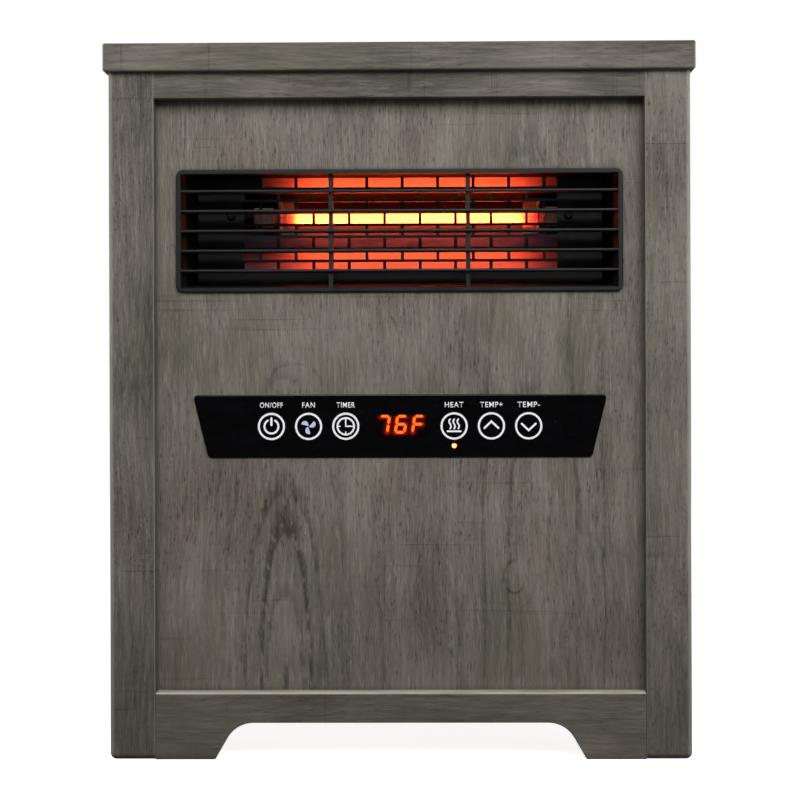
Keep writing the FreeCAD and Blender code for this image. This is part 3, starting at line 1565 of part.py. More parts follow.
def power_components():
    """Three relays, a transformer, three capacitors and a terminal block with four screws' wells."""
    relays = [on_board(x, 22.0, 19.0, 15.5, 15.5) for x in (-36.0, -12.0, 12.0)]
    transformer = on_board(30.0, -14.0, 32.0, 20.0, 26.0).fuse(on_board(30.0, -14.0, 20.0, 32.0, 18.0))
    capacitors = [can(-8.0, -16.0, 6.0, 18.0), can(-22.0, -18.0, 5.0, 14.0), can(-4.0, -30.0, 4.0, 12.0)]
    terminals = on_board(-50.0, -12.0, 12.0, 40.0, 12.0)
    for n in range(4):
        well = can(-50.0, -12.0 + (n - 1.5) * 10.0, 2.6, 13.0)
        well.translate(Z_AXIS * 7.0)
        terminals = terminals.cut(well)
    return Part.makeCompound(relays + [transformer.removeSplitter(), terminals] + capacitors)


def tilt_switch_frame():
    """Two cheeks on a foot, a pin between them, and the small switch box that the pendulum works."""
    inside = tilt_cheek_gap / 2
    outside = inside + tilt_cheek_thickness
    foot_x, foot_y = tilt_foot_half_width, tilt_foot_half_depth
    y0, y1 = tilt_y - tilt_cheek_half_depth, tilt_y + tilt_cheek_half_depth
    box_bottom = tilt_pivot_z + 5.0
    foot_top = base_top + tilt_foot_thickness
    body = block(tilt_x - foot_x, tilt_x + foot_x, tilt_y - foot_y, tilt_y + foot_y, base_top, foot_top)
    for sign in (-1, 1):
        x0, x1 = sorted((tilt_x + sign * inside, tilt_x + sign * outside))
        body = body.fuse(block(x0, x1, y0, y1, base_top, box_bottom))
    pin_start = Vector(tilt_x - outside, tilt_y, tilt_pivot_z)
    body = body.fuse(rod(tilt_pin_radius, pin_start, X_AXIS, 2 * outside))
    body = body.fuse(
        block(tilt_x - outside, tilt_x + outside, y0, y1, box_bottom, box_bottom + tilt_box_height)
    )
    return drilled(body.removeSplitter(), sheet_screw, tilt_screws_at, hole_play)


def tilt_pendulum():
    """A weight on an arm that hangs from the pin while the heater stands upright."""
    x0, x1 = tilt_x - tilt_bob_width / 2, tilt_x + tilt_bob_width / 2
    arm_half = tilt_arm_width / 2
    bob_z = tilt_pivot_z - tilt_arm_length
    eye = rod(tilt_eye_radius, Vector(x0, tilt_y, tilt_pivot_z), X_AXIS, x1 - x0)
    arm = block(tilt_x - arm_half, tilt_x + arm_half, tilt_y - 1.5, tilt_y + 1.5, bob_z, tilt_pivot_z)
    bob = rod(tilt_bob_radius, Vector(x0, tilt_y, bob_z), X_AXIS, x1 - x0)
    body = eye.fuse(arm).fuse(bob).removeSplitter()
    pin_hole = rod(tilt_pin_radius + running_play, Vector(x0 - 1, tilt_y, tilt_pivot_z), X_AXIS, x1 - x0 + 2)
    return body.cut(pin_hole)


def inner_screws():
    """Every screw that is hidden inside the cabinet."""
    groups = (
        (short_wood_screw, cap_screws_at),
        (base_screw, base_screws_at),
        (panel_screw, module_screws_at + carrier_screws_at),
        (board_screw, board_screws_at),
        (power_board_screw, power_board_screws_at),
        (sheet_screw, grille_screws_at + tilt_screws_at + blower_screws_at),
    )
    return Part.makeCompound([screw(size, *place) for size, places in groups for place in places])


# ---- All the pieces, by name

pieces = {
    "cap_board": cap,
    "front_left_post": lambda: post(-1, -1),
    "front_right_post": lambda: post(1, -1),
    "rear_left_post": lambda: post(-1, 1),
    "rear_right_post": lambda: post(1, 1),
    "front_top_rail": lambda: turned(top_rail(opening_half_width, rail_setback, True), "front"),
    "front_bottom_rail": lambda: turned(bottom_rail(opening_half_width, rail_setback, True), "front"),
    "left_top_rail": lambda: side_top_rail("left"),
    "left_bottom_rail": lambda: turned(bottom_rail(opening_half_depth, rail_setback, True), "left"),
    "right_top_rail": lambda: side_top_rail("right"),
    "right_bottom_rail": lambda: turned(bottom_rail(opening_half_depth, rail_setback, True), "right"),
    "rear_top_rail": lambda: rear_rail(True),
    "rear_bottom_rail": lambda: rear_rail(False),
    "front_panel": front_panel,
    "left_panel": lambda: side_panel("left"),
    "right_panel": lambda: side_panel("right"),
    "base_board": base_board,
    "base_cleats": base_cleats,
    "steel_brackets": steel_brackets,
    "outlet_grille": outlet_grille,
    "element_guard": element_guard,
    "guard_screws": lambda: screws(sheet_screw, guard_screws_at),
    "quartz_tube": quartz_tube,
    "heating_coil": heating_coil,
    "tube_end_caps": tube_end_caps,
    "tube_clips": tube_clips,
    "reflector": reflector,
    "heater_duct": heater_duct,
    "ceramic_core": ceramic_core,
    "core_fins": core_fins,
    "thermal_devices": thermal_devices,
    "impeller": impeller,
    "motor_rotor": motor_rotor,
    "motor_core": motor_core,
    "motor_coil": motor_coil,
    "motor_bridge": motor_bridge,
    "blower_housing": blower_housing,
    "control_fascia": control_fascia,
    "display_lens": display_lens,
    "heat_indicator": heat_indicator,
    "control_carrier": control_carrier,
    "control_board": control_board,
    "rear_cover": rear_cover,
    "cover_screws": lambda: screws(wood_screw, cover_screws_at),
    "filter_frame": filter_frame,
    "filter_mesh": filter_mesh,
    "cord_gland": cord_gland,
    "switch_housing": switch_housing,
    "rocker_button": rocker_button,
    "power_board": power_board,
    "power_components": power_components,
    "tilt_switch_frame": tilt_switch_frame,
    "tilt_pendulum": tilt_pendulum,
    "inner_screws": inner_screws,
}
for key_name in key_names:
    pieces[key_name + "_key"] = lambda name=key_name: key(name)

print(len(pieces), "pieces")
os.makedirs("parts", exist_ok=True)
for piece_name, make in pieces.items():
    shape = make()
    if not shape.isValid() or not shape.Solids or min(solid.Volume for solid in shape.Solids) <= 0:
        raise ValueError(f"{piece_name} is not made of valid solids")
    shape.exportStep(f"parts/{piece_name}.step")
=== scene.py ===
import math

import bmesh
import bpy
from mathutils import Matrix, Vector


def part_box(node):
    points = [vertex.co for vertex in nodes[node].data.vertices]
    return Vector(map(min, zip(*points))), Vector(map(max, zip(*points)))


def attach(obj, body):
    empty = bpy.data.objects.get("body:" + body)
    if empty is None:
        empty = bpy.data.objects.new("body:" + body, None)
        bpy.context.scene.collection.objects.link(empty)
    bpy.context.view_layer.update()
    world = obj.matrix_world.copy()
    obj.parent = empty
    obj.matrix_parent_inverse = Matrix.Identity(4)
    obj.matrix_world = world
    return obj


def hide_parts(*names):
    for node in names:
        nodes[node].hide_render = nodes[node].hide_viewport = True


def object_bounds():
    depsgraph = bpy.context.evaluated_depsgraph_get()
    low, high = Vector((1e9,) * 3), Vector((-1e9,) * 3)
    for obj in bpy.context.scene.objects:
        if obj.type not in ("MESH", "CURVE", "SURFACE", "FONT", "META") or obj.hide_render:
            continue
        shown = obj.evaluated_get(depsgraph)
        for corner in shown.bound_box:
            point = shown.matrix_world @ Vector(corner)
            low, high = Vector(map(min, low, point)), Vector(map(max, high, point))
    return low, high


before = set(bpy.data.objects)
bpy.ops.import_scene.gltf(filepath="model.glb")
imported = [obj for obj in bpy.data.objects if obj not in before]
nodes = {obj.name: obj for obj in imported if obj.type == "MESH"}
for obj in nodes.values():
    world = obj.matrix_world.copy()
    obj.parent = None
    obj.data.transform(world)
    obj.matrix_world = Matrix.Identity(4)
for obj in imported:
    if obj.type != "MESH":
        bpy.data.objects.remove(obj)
cadLow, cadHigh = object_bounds()


# small helpers

def linear(hexColour):
    # a colour as a picker shows it, turned to the linear values that a shader works in
    channels = [int(hexColour[i:i + 2], 16) / 255 for i in (0, 2, 4)]
    return tuple(c / 12.92 if c <= 0.04045 else ((c + 0.055) / 1.055) ** 2.4 for c in channels) + (1.0,)


def addNode(tree, kind, links=None, stops=None, **settings):
    # one node: its settings, its colour stops if it is a ramp, then a value or a link for each socket
    node = tree.nodes.new("ShaderNode" + kind)
    for name, value in settings.items():
        setattr(node, name, value)
    if stops:
        ramp = node.color_ramp.elements
        while len(ramp) < len(stops):
            ramp.new(0.5)
        for element, (position, colour) in zip(ramp, stops):
            element.position = position
            element.color = linear(colour)
    for socket, value in (links or {}).items():
        if isinstance(value, bpy.types.NodeSocket):
            tree.links.new(value, node.inputs[socket])
        else:
            node.inputs[socket].default_value = value
    return node


def startMaterial(name, **surface):
    # a material with one shader whose constant values are given by their socket names
    material = bpy.data.materials.new(name)
    material.use_nodes = True
    tree = material.node_tree
    shader = tree.nodes["Principled BSDF"]
    for socket, value in surface.items():
        shader.inputs[socket.replace("_", " ")].default_value = value
    place = addNode(tree, "TexCoord").outputs["Object"]
    return material, tree, shader, place


def stretched(tree, place, mm, detail=2.0, roughness=0.5):
    # soft noise whose grains are mm = (x, y, z) long, or one size all ways; its value spreads round 0.5
    sizes = mm if isinstance(mm, tuple) else (mm,) * 3
    scaled = vectors(tree, "MULTIPLY", place, tuple(1000 / size for size in sizes))
    return addNode(tree, "TexNoise", {"Vector": scaled, "Scale": 1.0, "Detail": detail,
                                      "Roughness": roughness}).outputs[0]


def between(tree, value, low, high, start=0.0, end=1.0):
    # value from low to high becomes start to end, with a soft shoulder at both ends
    return addNode(tree, "MapRange", {"Value": value, "From Min": low, "From Max": high, "To Min": start,
                                      "To Max": end}, interpolation_type="SMOOTHSTEP").outputs[0]


def patches(tree, place, mm, detail, *limits):
    # noise cut to 0 and 1, or to the limits' last two values, with soft shores
    return between(tree, stretched(tree, place, mm, detail), *limits)


def worked(tree, operation, *values):
    return addNode(tree, "Math", dict(enumerate(values)), operation=operation).outputs[0]


def times(tree, one, two):
    return worked(tree, "MULTIPLY", one, two)


def scaleAdd(tree, value, scale, base):
    return worked(tree, "MULTIPLY_ADD", value, scale, base)


def tinted(tree, share, base, over, blend="MIX"):
    # two colours mixed, each a link or an sRGB hex
    base, over = (linear(colour) if isinstance(colour, str) else colour for colour in (base, over))
    mixed = addNode(tree, "Mix", {0: share, 6: base, 7: over}, data_type="RGBA", blend_type=blend)
    return mixed.outputs[2]


def axes(tree, vector):
    return addNode(tree, "SeparateXYZ", {0: vector}).outputs


def trueNormal(tree):
    return addNode(tree, "NewGeometry").outputs["True Normal"]


def vectors(tree, operation, *values, output=0):
    return addNode(tree, "VectorMath", dict(enumerate(values)), operation=operation).outputs[output]


def raised(shader, height, depthMm, strength=1.0):
    sockets = {"Height": height, "Distance": depthMm / 1000, "Strength": strength}
    bump = addNode(shader.id_data, "Bump", sockets)
    join(shader, Normal=bump.outputs[0])


def join(shader, **links):
    for socket, value in links.items():
        shader.id_data.links.new(value, shader.inputs[socket.replace("_", " ")])


def dress(material, *names):
    for name in names:
        for slot in nodes[name].material_slots:
            slot.material = material


def convexEdge(tree, radiusMm, flat=0.97, worn=0.80):
    # 1 along a piece's own outer edges: where the rounded normal leaves the true one
    rounded = addNode(tree, "Bevel", {"Radius": radiusMm / 1000}, samples=6).outputs[0]
    same = vectors(tree, "DOT_PRODUCT", rounded, trueNormal(tree), output="Value")
    return between(tree, same, flat, worn)


def tightCorner(tree, reachMm, free=0.92, shut=0.45):
    # 1 deep in a corner between pieces, 0 in the open; it sets where shade is painted into corners
    openness = addNode(tree, "AmbientOcclusion", {"Distance": reachMm / 1000}, samples=6).outputs["AO"]
    return between(tree, openness, free, shut)


def addObject(name, data):
    made = bpy.data.objects.new(name, data)
    bpy.context.scene.collection.objects.link(made)
    return made


# camera, floor and light

camera = {
    "distance": 1.150,  # in front of the top board's front edge
    "height": 0.225,
    "lens": 91.5,  # on a 36 mm wide sensor
    "shiftY": -0.046,
    "roll": 0.0033,
    "aside": 0.0176,  # a little to the right, turned back by as much
    "yaw": 0.015,
}
cameraData = bpy.data.cameras.new("camera")
cameraData.lens = camera["lens"]
cameraData.sensor_width = 36.0
cameraData.shift_y = camera["shiftY"]
cameraData.clip_start = 0.05
cameraObject = addObject("camera", cameraData)
cameraObject.location = (camera["aside"], cadLow.y - camera["distance"], camera["height"])
cameraObject.rotation_euler = (math.radians(90), camera["roll"], camera["yaw"])
bpy.context.scene.camera = cameraObject
bpy.context.scene.view_settings.view_transform = "Standard"

studio = {
    "floorHalf": 5.0,
    "floor": "f4f3f1",
    "floorGlow": 0.88,  # keeps the floor as pale as the backdrop
    "fill": 0.150,  # soft light from above, the sides and behind
    "front": 0.026,  # the dim room behind the camera, which glossy black reflects
    "lamps": {
        # name: place, width, height, watts
        "overhead": ((0.20, -1.25, 1.10), 1.1, 0.8, 13.2),
        "leftFill": ((-1.20, -1.00, 0.60), 0.6, 0.8, 2.0),
        "rightFill": ((1.20, -1.05, 0.65), 0.6, 0.8, 3.2),
        "leftEdge": ((-1.50, 0.05, 0.50), 0.5, 0.9, 7.0),
        "rightEdge": ((1.50, 0.05, 0.50), 0.5, 0.9, 7.0),
        "rearLeft": ((-0.9, 1.5, 1.1), 1.0, 0.8, 9.0),
        "rearRight": ((1.2, 1.3, 0.9), 0.8, 0.8, 5.0),
    },
}
for name, (place, width, height, watts) in studio["lamps"].items():
    lampData = bpy.data.lights.new(name, "AREA")
    lampData.shape = "RECTANGLE"
    lampData.size, lampData.size_y, lampData.energy = width, height, watts
    lamp = addObject(name, lampData)
    lamp.location = place
    aim = Vector((0, 0, (cadLow.z + cadHigh.z) / 2)) - Vector(place)
    lamp.rotation_euler = aim.to_track_quat("-Z", "Y").to_euler()

world = bpy.data.worlds.new("studio")
world.use_nodes = True
bpy.context.scene.world = world
air = world.node_tree
background = air.nodes["Background"]
direction = axes(air, addNode(air, "TexCoord").outputs["Generated"])
frontness = between(air, direction["Y"], -0.30, -0.80)
lowness = between(air, direction["Z"], 0.75, 0.45)
dim = times(air, frontness, lowness)
glow = worked(air, "ADD", studio["fill"], times(air, dim, studio["front"] - studio["fill"]))
seen = addNode(air, "LightPath").outputs["Is Camera Ray"]
strength = worked(air, "MAXIMUM", glow, seen)
air.links.new(strength, background.inputs["Strength"])
background.inputs["Color"].default_value = (1, 1, 1, 1)

floorMesh = bpy.data.meshes.new("floor")
half = studio["floorHalf"]
floorCorners = [(-half, -half, 0), (half, -half, 0), (half, half, 0), (-half, half, 0)]
floorMesh.from_pydata(floorCorners, [], [(0, 1, 2, 3)])
floor = addObject("floor", floorMesh)
floor.location.z = cadLow.z - 0.0002
floor.visible_diffuse = floor.visible_glossy = False  # the paper itself throws no light up at the heater
paper, tree, shader, place = startMaterial("studioPaper", Roughness=0.9,
                                           Emission_Strength=studio["floorGlow"])
fibre = stretched(tree, place, 4)
join(shader, Base_Color=tinted(tree, fibre, studio["floor"], "ffffff"))
shader.inputs["Emission Color"].default_value = (1, 1, 1, 1)
floorMesh.materials.append(paper)
print("camera, lamps and floor are in place")


# grey-stained, wire-brushed ash: open pores and raised fibres, a satin lacquer that has rubbed thin at edges

wood = {
    "pore": "2f2b27",
    "low": "5a554d",
    "body": "7c766b",
    "high": "968f83",
    "worn": "b1aa9c",
    "warm": "8c7c7c",  # where the brown of the wood comes through the stain
    "green": "7c8068",  # where the stain lies cooler
    "poreWidth": 0.80,  # real pores are 0.3 mm wide; drawn as coarse as the render can show
    "raised": (0.75, 0.75, 11.0),  # across, across, along the grain, in mm
    "fibre": (1.7, 1.7, 30.0),
    "band": (17.0, 17.0, 210.0),  # growth bands
    "patch": 75.0,  # the stain's cloudiness
    "poreDepth": 0.25,
    "sway": 0.012,  # how far the grain wanders, in metres
    "edge": 1.6, "corner": 5.0,
    "rounded": "b4b6a8",  # painted highlight on the posts' rounded corners
    "lowShade": "3b3732", "lowShadeTop": 0.16,  # painted shade: darker towards the floor, up to the given height
    "litLedge": "d6cfc1",  # painted highlight on the bottom rails' upward top edge, where light from above falls
    "ledgeFrom": 0.0340, "ledgeFull": 0.0350,  # z of that edge
}


def stainedWood(name, grain, offset, tone, brushed, poreLength, figure=None):
    material, tree, shader, place = startMaterial(name, Roughness=0.55, IOR=1.5)
    parts = axes(tree, place)
    order = {"X": "ZYX", "Y": "ZXY", "Z": "XYZ"}[grain]  # across, across, along
    swapped = addNode(tree, "CombineXYZ", {i: parts[axis] for i, axis in enumerate(order)}).outputs[0]
    board = vectors(tree, "ADD", swapped, offset)
    sway = addNode(tree, "TexNoise", {"Vector": board, "Scale": 9.0, "Detail": 1.0})
    pull = vectors(tree, "SUBTRACT", sway.outputs[1], (0.5, 0.5, 0.5))
    bend = vectors(tree, "MULTIPLY", pull, (wood["sway"], wood["sway"], 0.0))
    board = vectors(tree, "ADD", board, bend)

    poreNoise = stretched(tree, board, (wood["poreWidth"], wood["poreWidth"], poreLength), 3.0, 0.6)
    pore = between(tree, poreNoise, 0.55, 0.70)
    fleck = between(tree, stretched(tree, board, wood["raised"], 3.0, 0.6), 0.50, 0.70)
    fibres = stretched(tree, board, wood["fibre"], 4.0, 0.6)
    bands = stretched(tree, board, wood["band"], 3.0, 0.55)
    cloud = stretched(tree, board, wood["patch"], 3.0, 0.6)
    # brushing is patchy: deep where the cloud is high, nearly smooth elsewhere
    depth = patches(tree, board, (38, 38, 90), 2.0, 0.35, 0.62, 0.35, 1.0)
    pore = times(tree, pore, depth)

    shade = scaleAdd(tree, fibres, 0.50, 0.24 + tone)
    shade = scaleAdd(tree, worked(tree, "SUBTRACT", bands, 0.5), 0.32, shade)
    shade = scaleAdd(tree, worked(tree, "SUBTRACT", cloud, 0.5), 0.36, shade)
    shade = scaleAdd(tree, fleck, 0.19 * brushed, shade)
    shade = scaleAdd(tree, pore, -0.30 * brushed, shade)
    relief = scaleAdd(tree, pore, -1.0, scaleAdd(tree, fleck, 0.5, fibres))

    if figure:  # the arches of a flat-sawn board, thin dark rings stretched along the grain
        for centre, size, rings, weight in figure:
            local = vectors(tree, "SUBTRACT", place, centre)
            local = vectors(tree, "MULTIPLY", local, tuple(1 / s for s in size))
            wobble = addNode(tree, "TexNoise", {"Vector": place, "Scale": 22.0, "Detail": 3.0}).outputs[0]
            reach = vectors(tree, "LENGTH", local, output="Value")
            reach = scaleAdd(tree, wobble, 0.30, reach)
            ring = worked(tree, "FRACT", times(tree, reach, rings))
            line = times(tree, between(tree, ring, 0.0, 0.06), between(tree, ring, 0.30, 0.08))
            fade = between(tree, reach, 2.3, 1.1)
            broken = patches(tree, place, (3, 3, 7.0), 3.0, 0.32, 0.52)
            line = times(tree, line, times(tree, fade, broken))
            shade = scaleAdd(tree, line, -weight, shade)
            shade = scaleAdd(tree, between(tree, reach, 1.15, 0.6), weight * 0.22, shade)
            relief = scaleAdd(tree, line, -weight * 1.5, relief)

    # hairline checks across the grain, in a few patches only
    checks = patches(tree, board, (130, 130, 1.4), 1.0, 0.64, 0.72)
    where = patches(tree, board, (70, 70, 30), 1.0, 0.50, 0.64)
    checks = times(tree, checks, where)
    shade = scaleAdd(tree, checks, -0.13, shade)
    # handling scratches, at a slant to the grain
    slant = addNode(tree, "Mapping", {"Vector": board, "Rotation": (0.0, math.radians(38), 0.0)}).outputs[0]
    scratch = patches(tree, slant, (1.0, 9, 26), 1.0, 0.74, 0.80)
    shade = scaleAdd(tree, scratch, -0.08, shade)

    colour = addNode(tree, "ValToRGB", {0: shade}, stops=[
        (0.08, wood["pore"]), (0.34, wood["low"]), (0.52, wood["body"]), (0.70, wood["high"]),
        (0.98, wood["worn"])]).outputs[0]
    hue = stretched(tree, board, (38, 38, 90), 2.0)
    colour = tinted(tree, between(tree, hue, 0.50, 0.68, 0.0, 0.42), colour, wood["warm"], "SOFT_LIGHT")
    colour = tinted(tree, between(tree, hue, 0.50, 0.32, 0.0, 0.42), colour, wood["green"], "SOFT_LIGHT")

    # rubbed edges, lighter and uneven; painted shade, dark in the corners between boards
    rubbed = times(tree, convexEdge(tree, wood["edge"]),
                   patches(tree, board, (9, 9, 30), 3.0, 0.36, 0.66, 0.12, 0.75))
    colour = tinted(tree, rubbed, colour, wood["worn"])
    facing = axes(tree, trueNormal(tree))
    # painted highlight: lighter where a face turns between front and side, on the posts' rounded corners
    turned = worked(tree, "ABSOLUTE", times(tree, facing["X"], facing["Y"]))
    colour = tinted(tree, between(tree, turned, 0.12, 0.46, 0.0, 0.42), colour, wood["rounded"])
    # painted shade: darker deep in the corners between boards
    paintedCornerShade = times(tree, tightCorner(tree, wood["corner"]), 0.50)
    colour = tinted(tree, paintedCornerShade, colour, wood["pore"])
    # painted shade: the boards darken towards the floor
    low = between(tree, parts["Z"], wood["lowShadeTop"], 0.0, 0.0, 0.34)
    colour = tinted(tree, low, colour, wood["lowShade"])
    if "bottom_rail" in name:
        # painted highlight: the bottom rails' upward top edge made lighter, unevenly
        litLedge = times(tree, between(tree, facing["Z"], 0.30, 0.65),
                      between(tree, parts["Z"], wood["ledgeFrom"], wood["ledgeFull"]))
        thin = patches(tree, board, (6, 6, 40), 3.0, 0.30, 0.60, 0.55, 0.95)
        colour = tinted(tree, times(tree, litLedge, thin), colour, wood["litLedge"])
    join(shader, Base_Color=colour)
    join(shader, Roughness=between(tree, shade, 0.25, 0.75, 0.68, 0.46))
    raised(shader, relief, wood["poreDepth"], 0.55 * brushed)
    return material


panelFigure = [
    # centre, half sizes in metres, rings, depth of tone
    ((-0.0655, -0.127, 0.045), (0.0125, 0.05, 0.080), 0.87, 0.30),
    ((-0.0660, -0.127, 0.045), (0.0240, 0.05, 0.115), 1.9, 0.16),
    ((0.0654, -0.127, 0.1027), (0.0070, 0.05, 0.0105), 1.1, 0.20),
    ((0.075, -0.127, 0.090), (0.030, 0.05, 0.300), 2.0, 0.13),
    ((-0.060, -0.127, 0.215), (0.018, 0.05, 0.012), 1.2, 0.10),
]
boards = {
    # node: grain, offset that gives the board its own figure, lighter or darker, brushing, pore length in mm
    "cap_board": ("X", (0.31, 0.0, 0.12), -0.03, 0.55, 7.0),
    "front_top_rail": ("X", (1.30, 0.2, 0.52), -0.08, 0.60, 7.0),
    "front_bottom_rail": ("X", (2.33, 0.4, 1.27), 0.03, 0.60, 7.0),
    "rear_top_rail": ("X", (3.37, 0.6, 2.31), -0.06, 0.55, 7.0),
    "rear_bottom_rail": ("X", (4.41, 0.8, 3.12), 0.02, 0.60, 7.0),
    "left_top_rail": ("Y", (5.17, 1.2, 0.41), -0.06, 0.55, 7.0),
    "left_bottom_rail": ("Y", (6.23, 1.4, 1.63), 0.02, 0.60, 7.0),
    "right_top_rail": ("Y", (7.29, 1.6, 2.11), -0.06, 0.55, 7.0),
    "right_bottom_rail": ("Y", (8.31, 1.8, 3.77), 0.02, 0.60, 7.0),
    "front_left_post": ("Z", (9.13, 2.2, 4.13), 0.00, 0.95, 2.6),
    "front_right_post": ("Z", (10.71, 2.4, 5.23), 0.04, 0.85, 4.0),
    "rear_left_post": ("Z", (11.19, 2.6, 6.31), 0.02, 0.85, 3.5),
    "rear_right_post": ("Z", (12.23, 2.8, 7.37), 0.03, 0.85, 4.0),
    "front_panel": ("Z", (13.11, 3.2, 8.19), 0.07, 1.0, 5.0),
    "left_panel": ("Z", (14.27, 3.4, 9.41), 0.05, 1.0, 5.0),
    "right_panel": ("Z", (15.37, 3.6, 10.53), 0.05, 1.0, 5.0),
}
for name, (grain, offset, tone, brushed, poreLength) in boards.items():
    figure = panelFigure if name == "front_panel" else None
    dress(stainedWood("stainedAsh." + name, grain, offset, tone, brushed, poreLength, figure), name)
print("wooden boards:", len(boards))

plainBoard = {"fibre": "a98a63", "dark": "7d6142", "light": "c4a67c", "fibreSize": 0.9, "flake": 7.0}
# bare fibreboard and its pine cleats: a dull, even tan, slightly furry to the eye
material, tree, shader, place = startMaterial("fibreboard", Roughness=0.88, IOR=1.45)
speckle = stretched(tree, place, plainBoard["fibreSize"], 4.0, 0.7)
flakes = stretched(tree, place, (plainBoard["flake"], plainBoard["flake"], 2.0), 3.0)
tone = scaleAdd(tree, flakes, 0.4, times(tree, speckle, 0.6))
colour = addNode(tree, "ValToRGB", {0: tone}, stops=[
    (0.30, plainBoard["dark"]), (0.50, plainBoard["fibre"]), (0.72, plainBoard["light"])]).outputs[0]
# painted shade, darker in the corners
join(shader, Base_Color=tinted(tree, tightCorner(tree, 10), colour, "4c3a28"))
raised(shader, speckle, 0.12)
dress(material, "base_board", "base_cleats")


# black plastics

def mouldedAbs(name, base, edge, roughness, grainMm, grainDepth, dullBehind=None):
    # ABS from a spark-eroded mould: an even, fine leather that breaks the highlight up, paler where edges rub
    material, tree, shader, place = startMaterial(name, Roughness=roughness, IOR=1.54)
    grain = stretched(tree, place, grainMm, 3.0, 0.65)
    smear = stretched(tree, place, (22, 22, 60), 3.0)
    dust = patches(tree, place, 1.4, 2.0, 0.66, 0.78, 0.0, 0.35)
    colour = tinted(tree, between(tree, smear, 0.35, 0.70), base, edge)
    upward = axes(tree, trueNormal(tree))["Z"]
    settled = times(tree, dust, between(tree, upward, 0.5, 1.0))
    colour = tinted(tree, settled, colour, "5d5a57")
    rubbed = times(tree, convexEdge(tree, 0.5), between(tree, smear, 0.3, 0.7, 0.10, 0.5))
    join(shader, Base_Color=tinted(tree, rubbed, colour, "26272c"))
    # no polish on faces that look down
    dull = times(tree, between(tree, upward, -0.4, -0.9), 0.3)
    if dullBehind is not None:  # nobody wipes the passage behind the show face
        inside = axes(tree, place)["Y"]
        inside = between(tree, inside, dullBehind, dullBehind + 0.004, 0.0, 0.36)
        dull = worked(tree, "MAXIMUM", dull, inside)
        join(shader, Specular_IOR_Level=scaleAdd(tree, inside, -1.1, 0.5))
    rough = between(tree, smear, 0.3, 0.7, roughness - 0.07, roughness + 0.09)
    join(shader, Roughness=worked(tree, "ADD", rough, dull))
    raised(shader, grain, grainDepth)
    return material


dress(mouldedAbs("mouldedAbs.grille", "050508", "0a0a0e", 0.46, 0.55, 0.035, dullBehind=-0.122),
      "outlet_grille")
dress(mouldedAbs("mouldedAbs.rear", "131316", "1b1b1f", 0.55, 0.9, 0.08), "rear_cover", "filter_frame")
dress(mouldedAbs("mouldedAbs.inside", "101013", "18181b", 0.50, 0.6, 0.04), "control_carrier",
      "switch_housing", "tilt_switch_frame")

acrylic = {"black": "040406", "smoke": "070508", "roughness": 0.085, "haze": 0.16}


def glossAcrylic(name, base, haze):
    # acrylic painted black behind: a deep, clean gloss with faint wiping marks
    material, tree, shader, place = startMaterial(name, IOR=1.49, Coat_Weight=0.3, Coat_Roughness=0.04)
    wiped = stretched(tree, place, (26, 26, 9), 4.0, 0.65)
    hairs = patches(tree, place, (40, 40, 0.5), 1.0, 0.66, 0.74)
    specks = patches(tree, place, 0.9, 1.0, 0.74, 0.80)
    colour = tinted(tree, between(tree, wiped, 0.35, 0.75), base, "0a0a0e")
    join(shader, Base_Color=tinted(tree, times(tree, specks, 0.25), colour, "6b6a70"))
    rough = between(tree, wiped, 0.35, 0.70, acrylic["roughness"], haze)
    join(shader, Roughness=scaleAdd(tree, hairs, 0.05, rough))
    raised(shader, wiped, 0.004)
    return material


dress(glossAcrylic("glossAcrylic.fascia", acrylic["black"], acrylic["haze"]), "control_fascia")
dress(glossAcrylic("glossAcrylic.keys", acrylic["black"], acrylic["haze"]), "power_key", "fan_key",
      "timer_key", "heat_key", "temp_up_key", "temp_down_key")
dress(glossAcrylic("glossAcrylic.window", acrylic["smoke"], 0.12), "display_lens")
dress(glossAcrylic("glossAcrylic.rocker", "0b0b0d", 0.22), "rocker_button")
print("plastics")


# metals, glass and the rest of the working parts

stoveBlack = {"base": "020203", "edge": "18181c", "grain": 0.35}
# heat-proof black paint on the guard plate: dry, very slightly gritty, thin along the punched edges
material, tree, shader, place = startMaterial("stovePaintedSteel", Roughness=0.55, IOR=1.5)
grit = stretched(tree, place, stoveBlack["grain"] * 2, 3.0)  # grit is drawn at twice its size
rub = times(tree, convexEdge(tree, 0.3), between(tree, grit, 0.4, 0.6, 0.05, 0.4))
join(shader, Base_Color=tinted(tree, rub, stoveBlack["base"], stoveBlack["edge"]))
join(shader, Roughness=between(tree, grit, 0.35, 0.65, 0.48, 0.62))
raised(shader, grit, 0.02)
dress(material, "element_guard")

# black-oxide screws: dark steel with a bluish oily sheen, bright where a driver has been
material, tree, shader, place = startMaterial("blackOxideSteel", Metallic=1.0, Roughness=0.38)
film = stretched(tree, place, 1.2, 3.0)
colour = tinted(tree, film, "17181c", "2b2d33")
rub = times(tree, convexEdge(tree, 0.25), between(tree, film, 0.40, 0.62, 0.1, 0.8))
join(shader, Base_Color=tinted(tree, rub, colour, "84858a"))
join(shader, Roughness=between(tree, film, 0.3, 0.7, 0.30, 0.48))
raised(shader, film, 0.01)
dress(material, "guard_screws", "cover_screws")


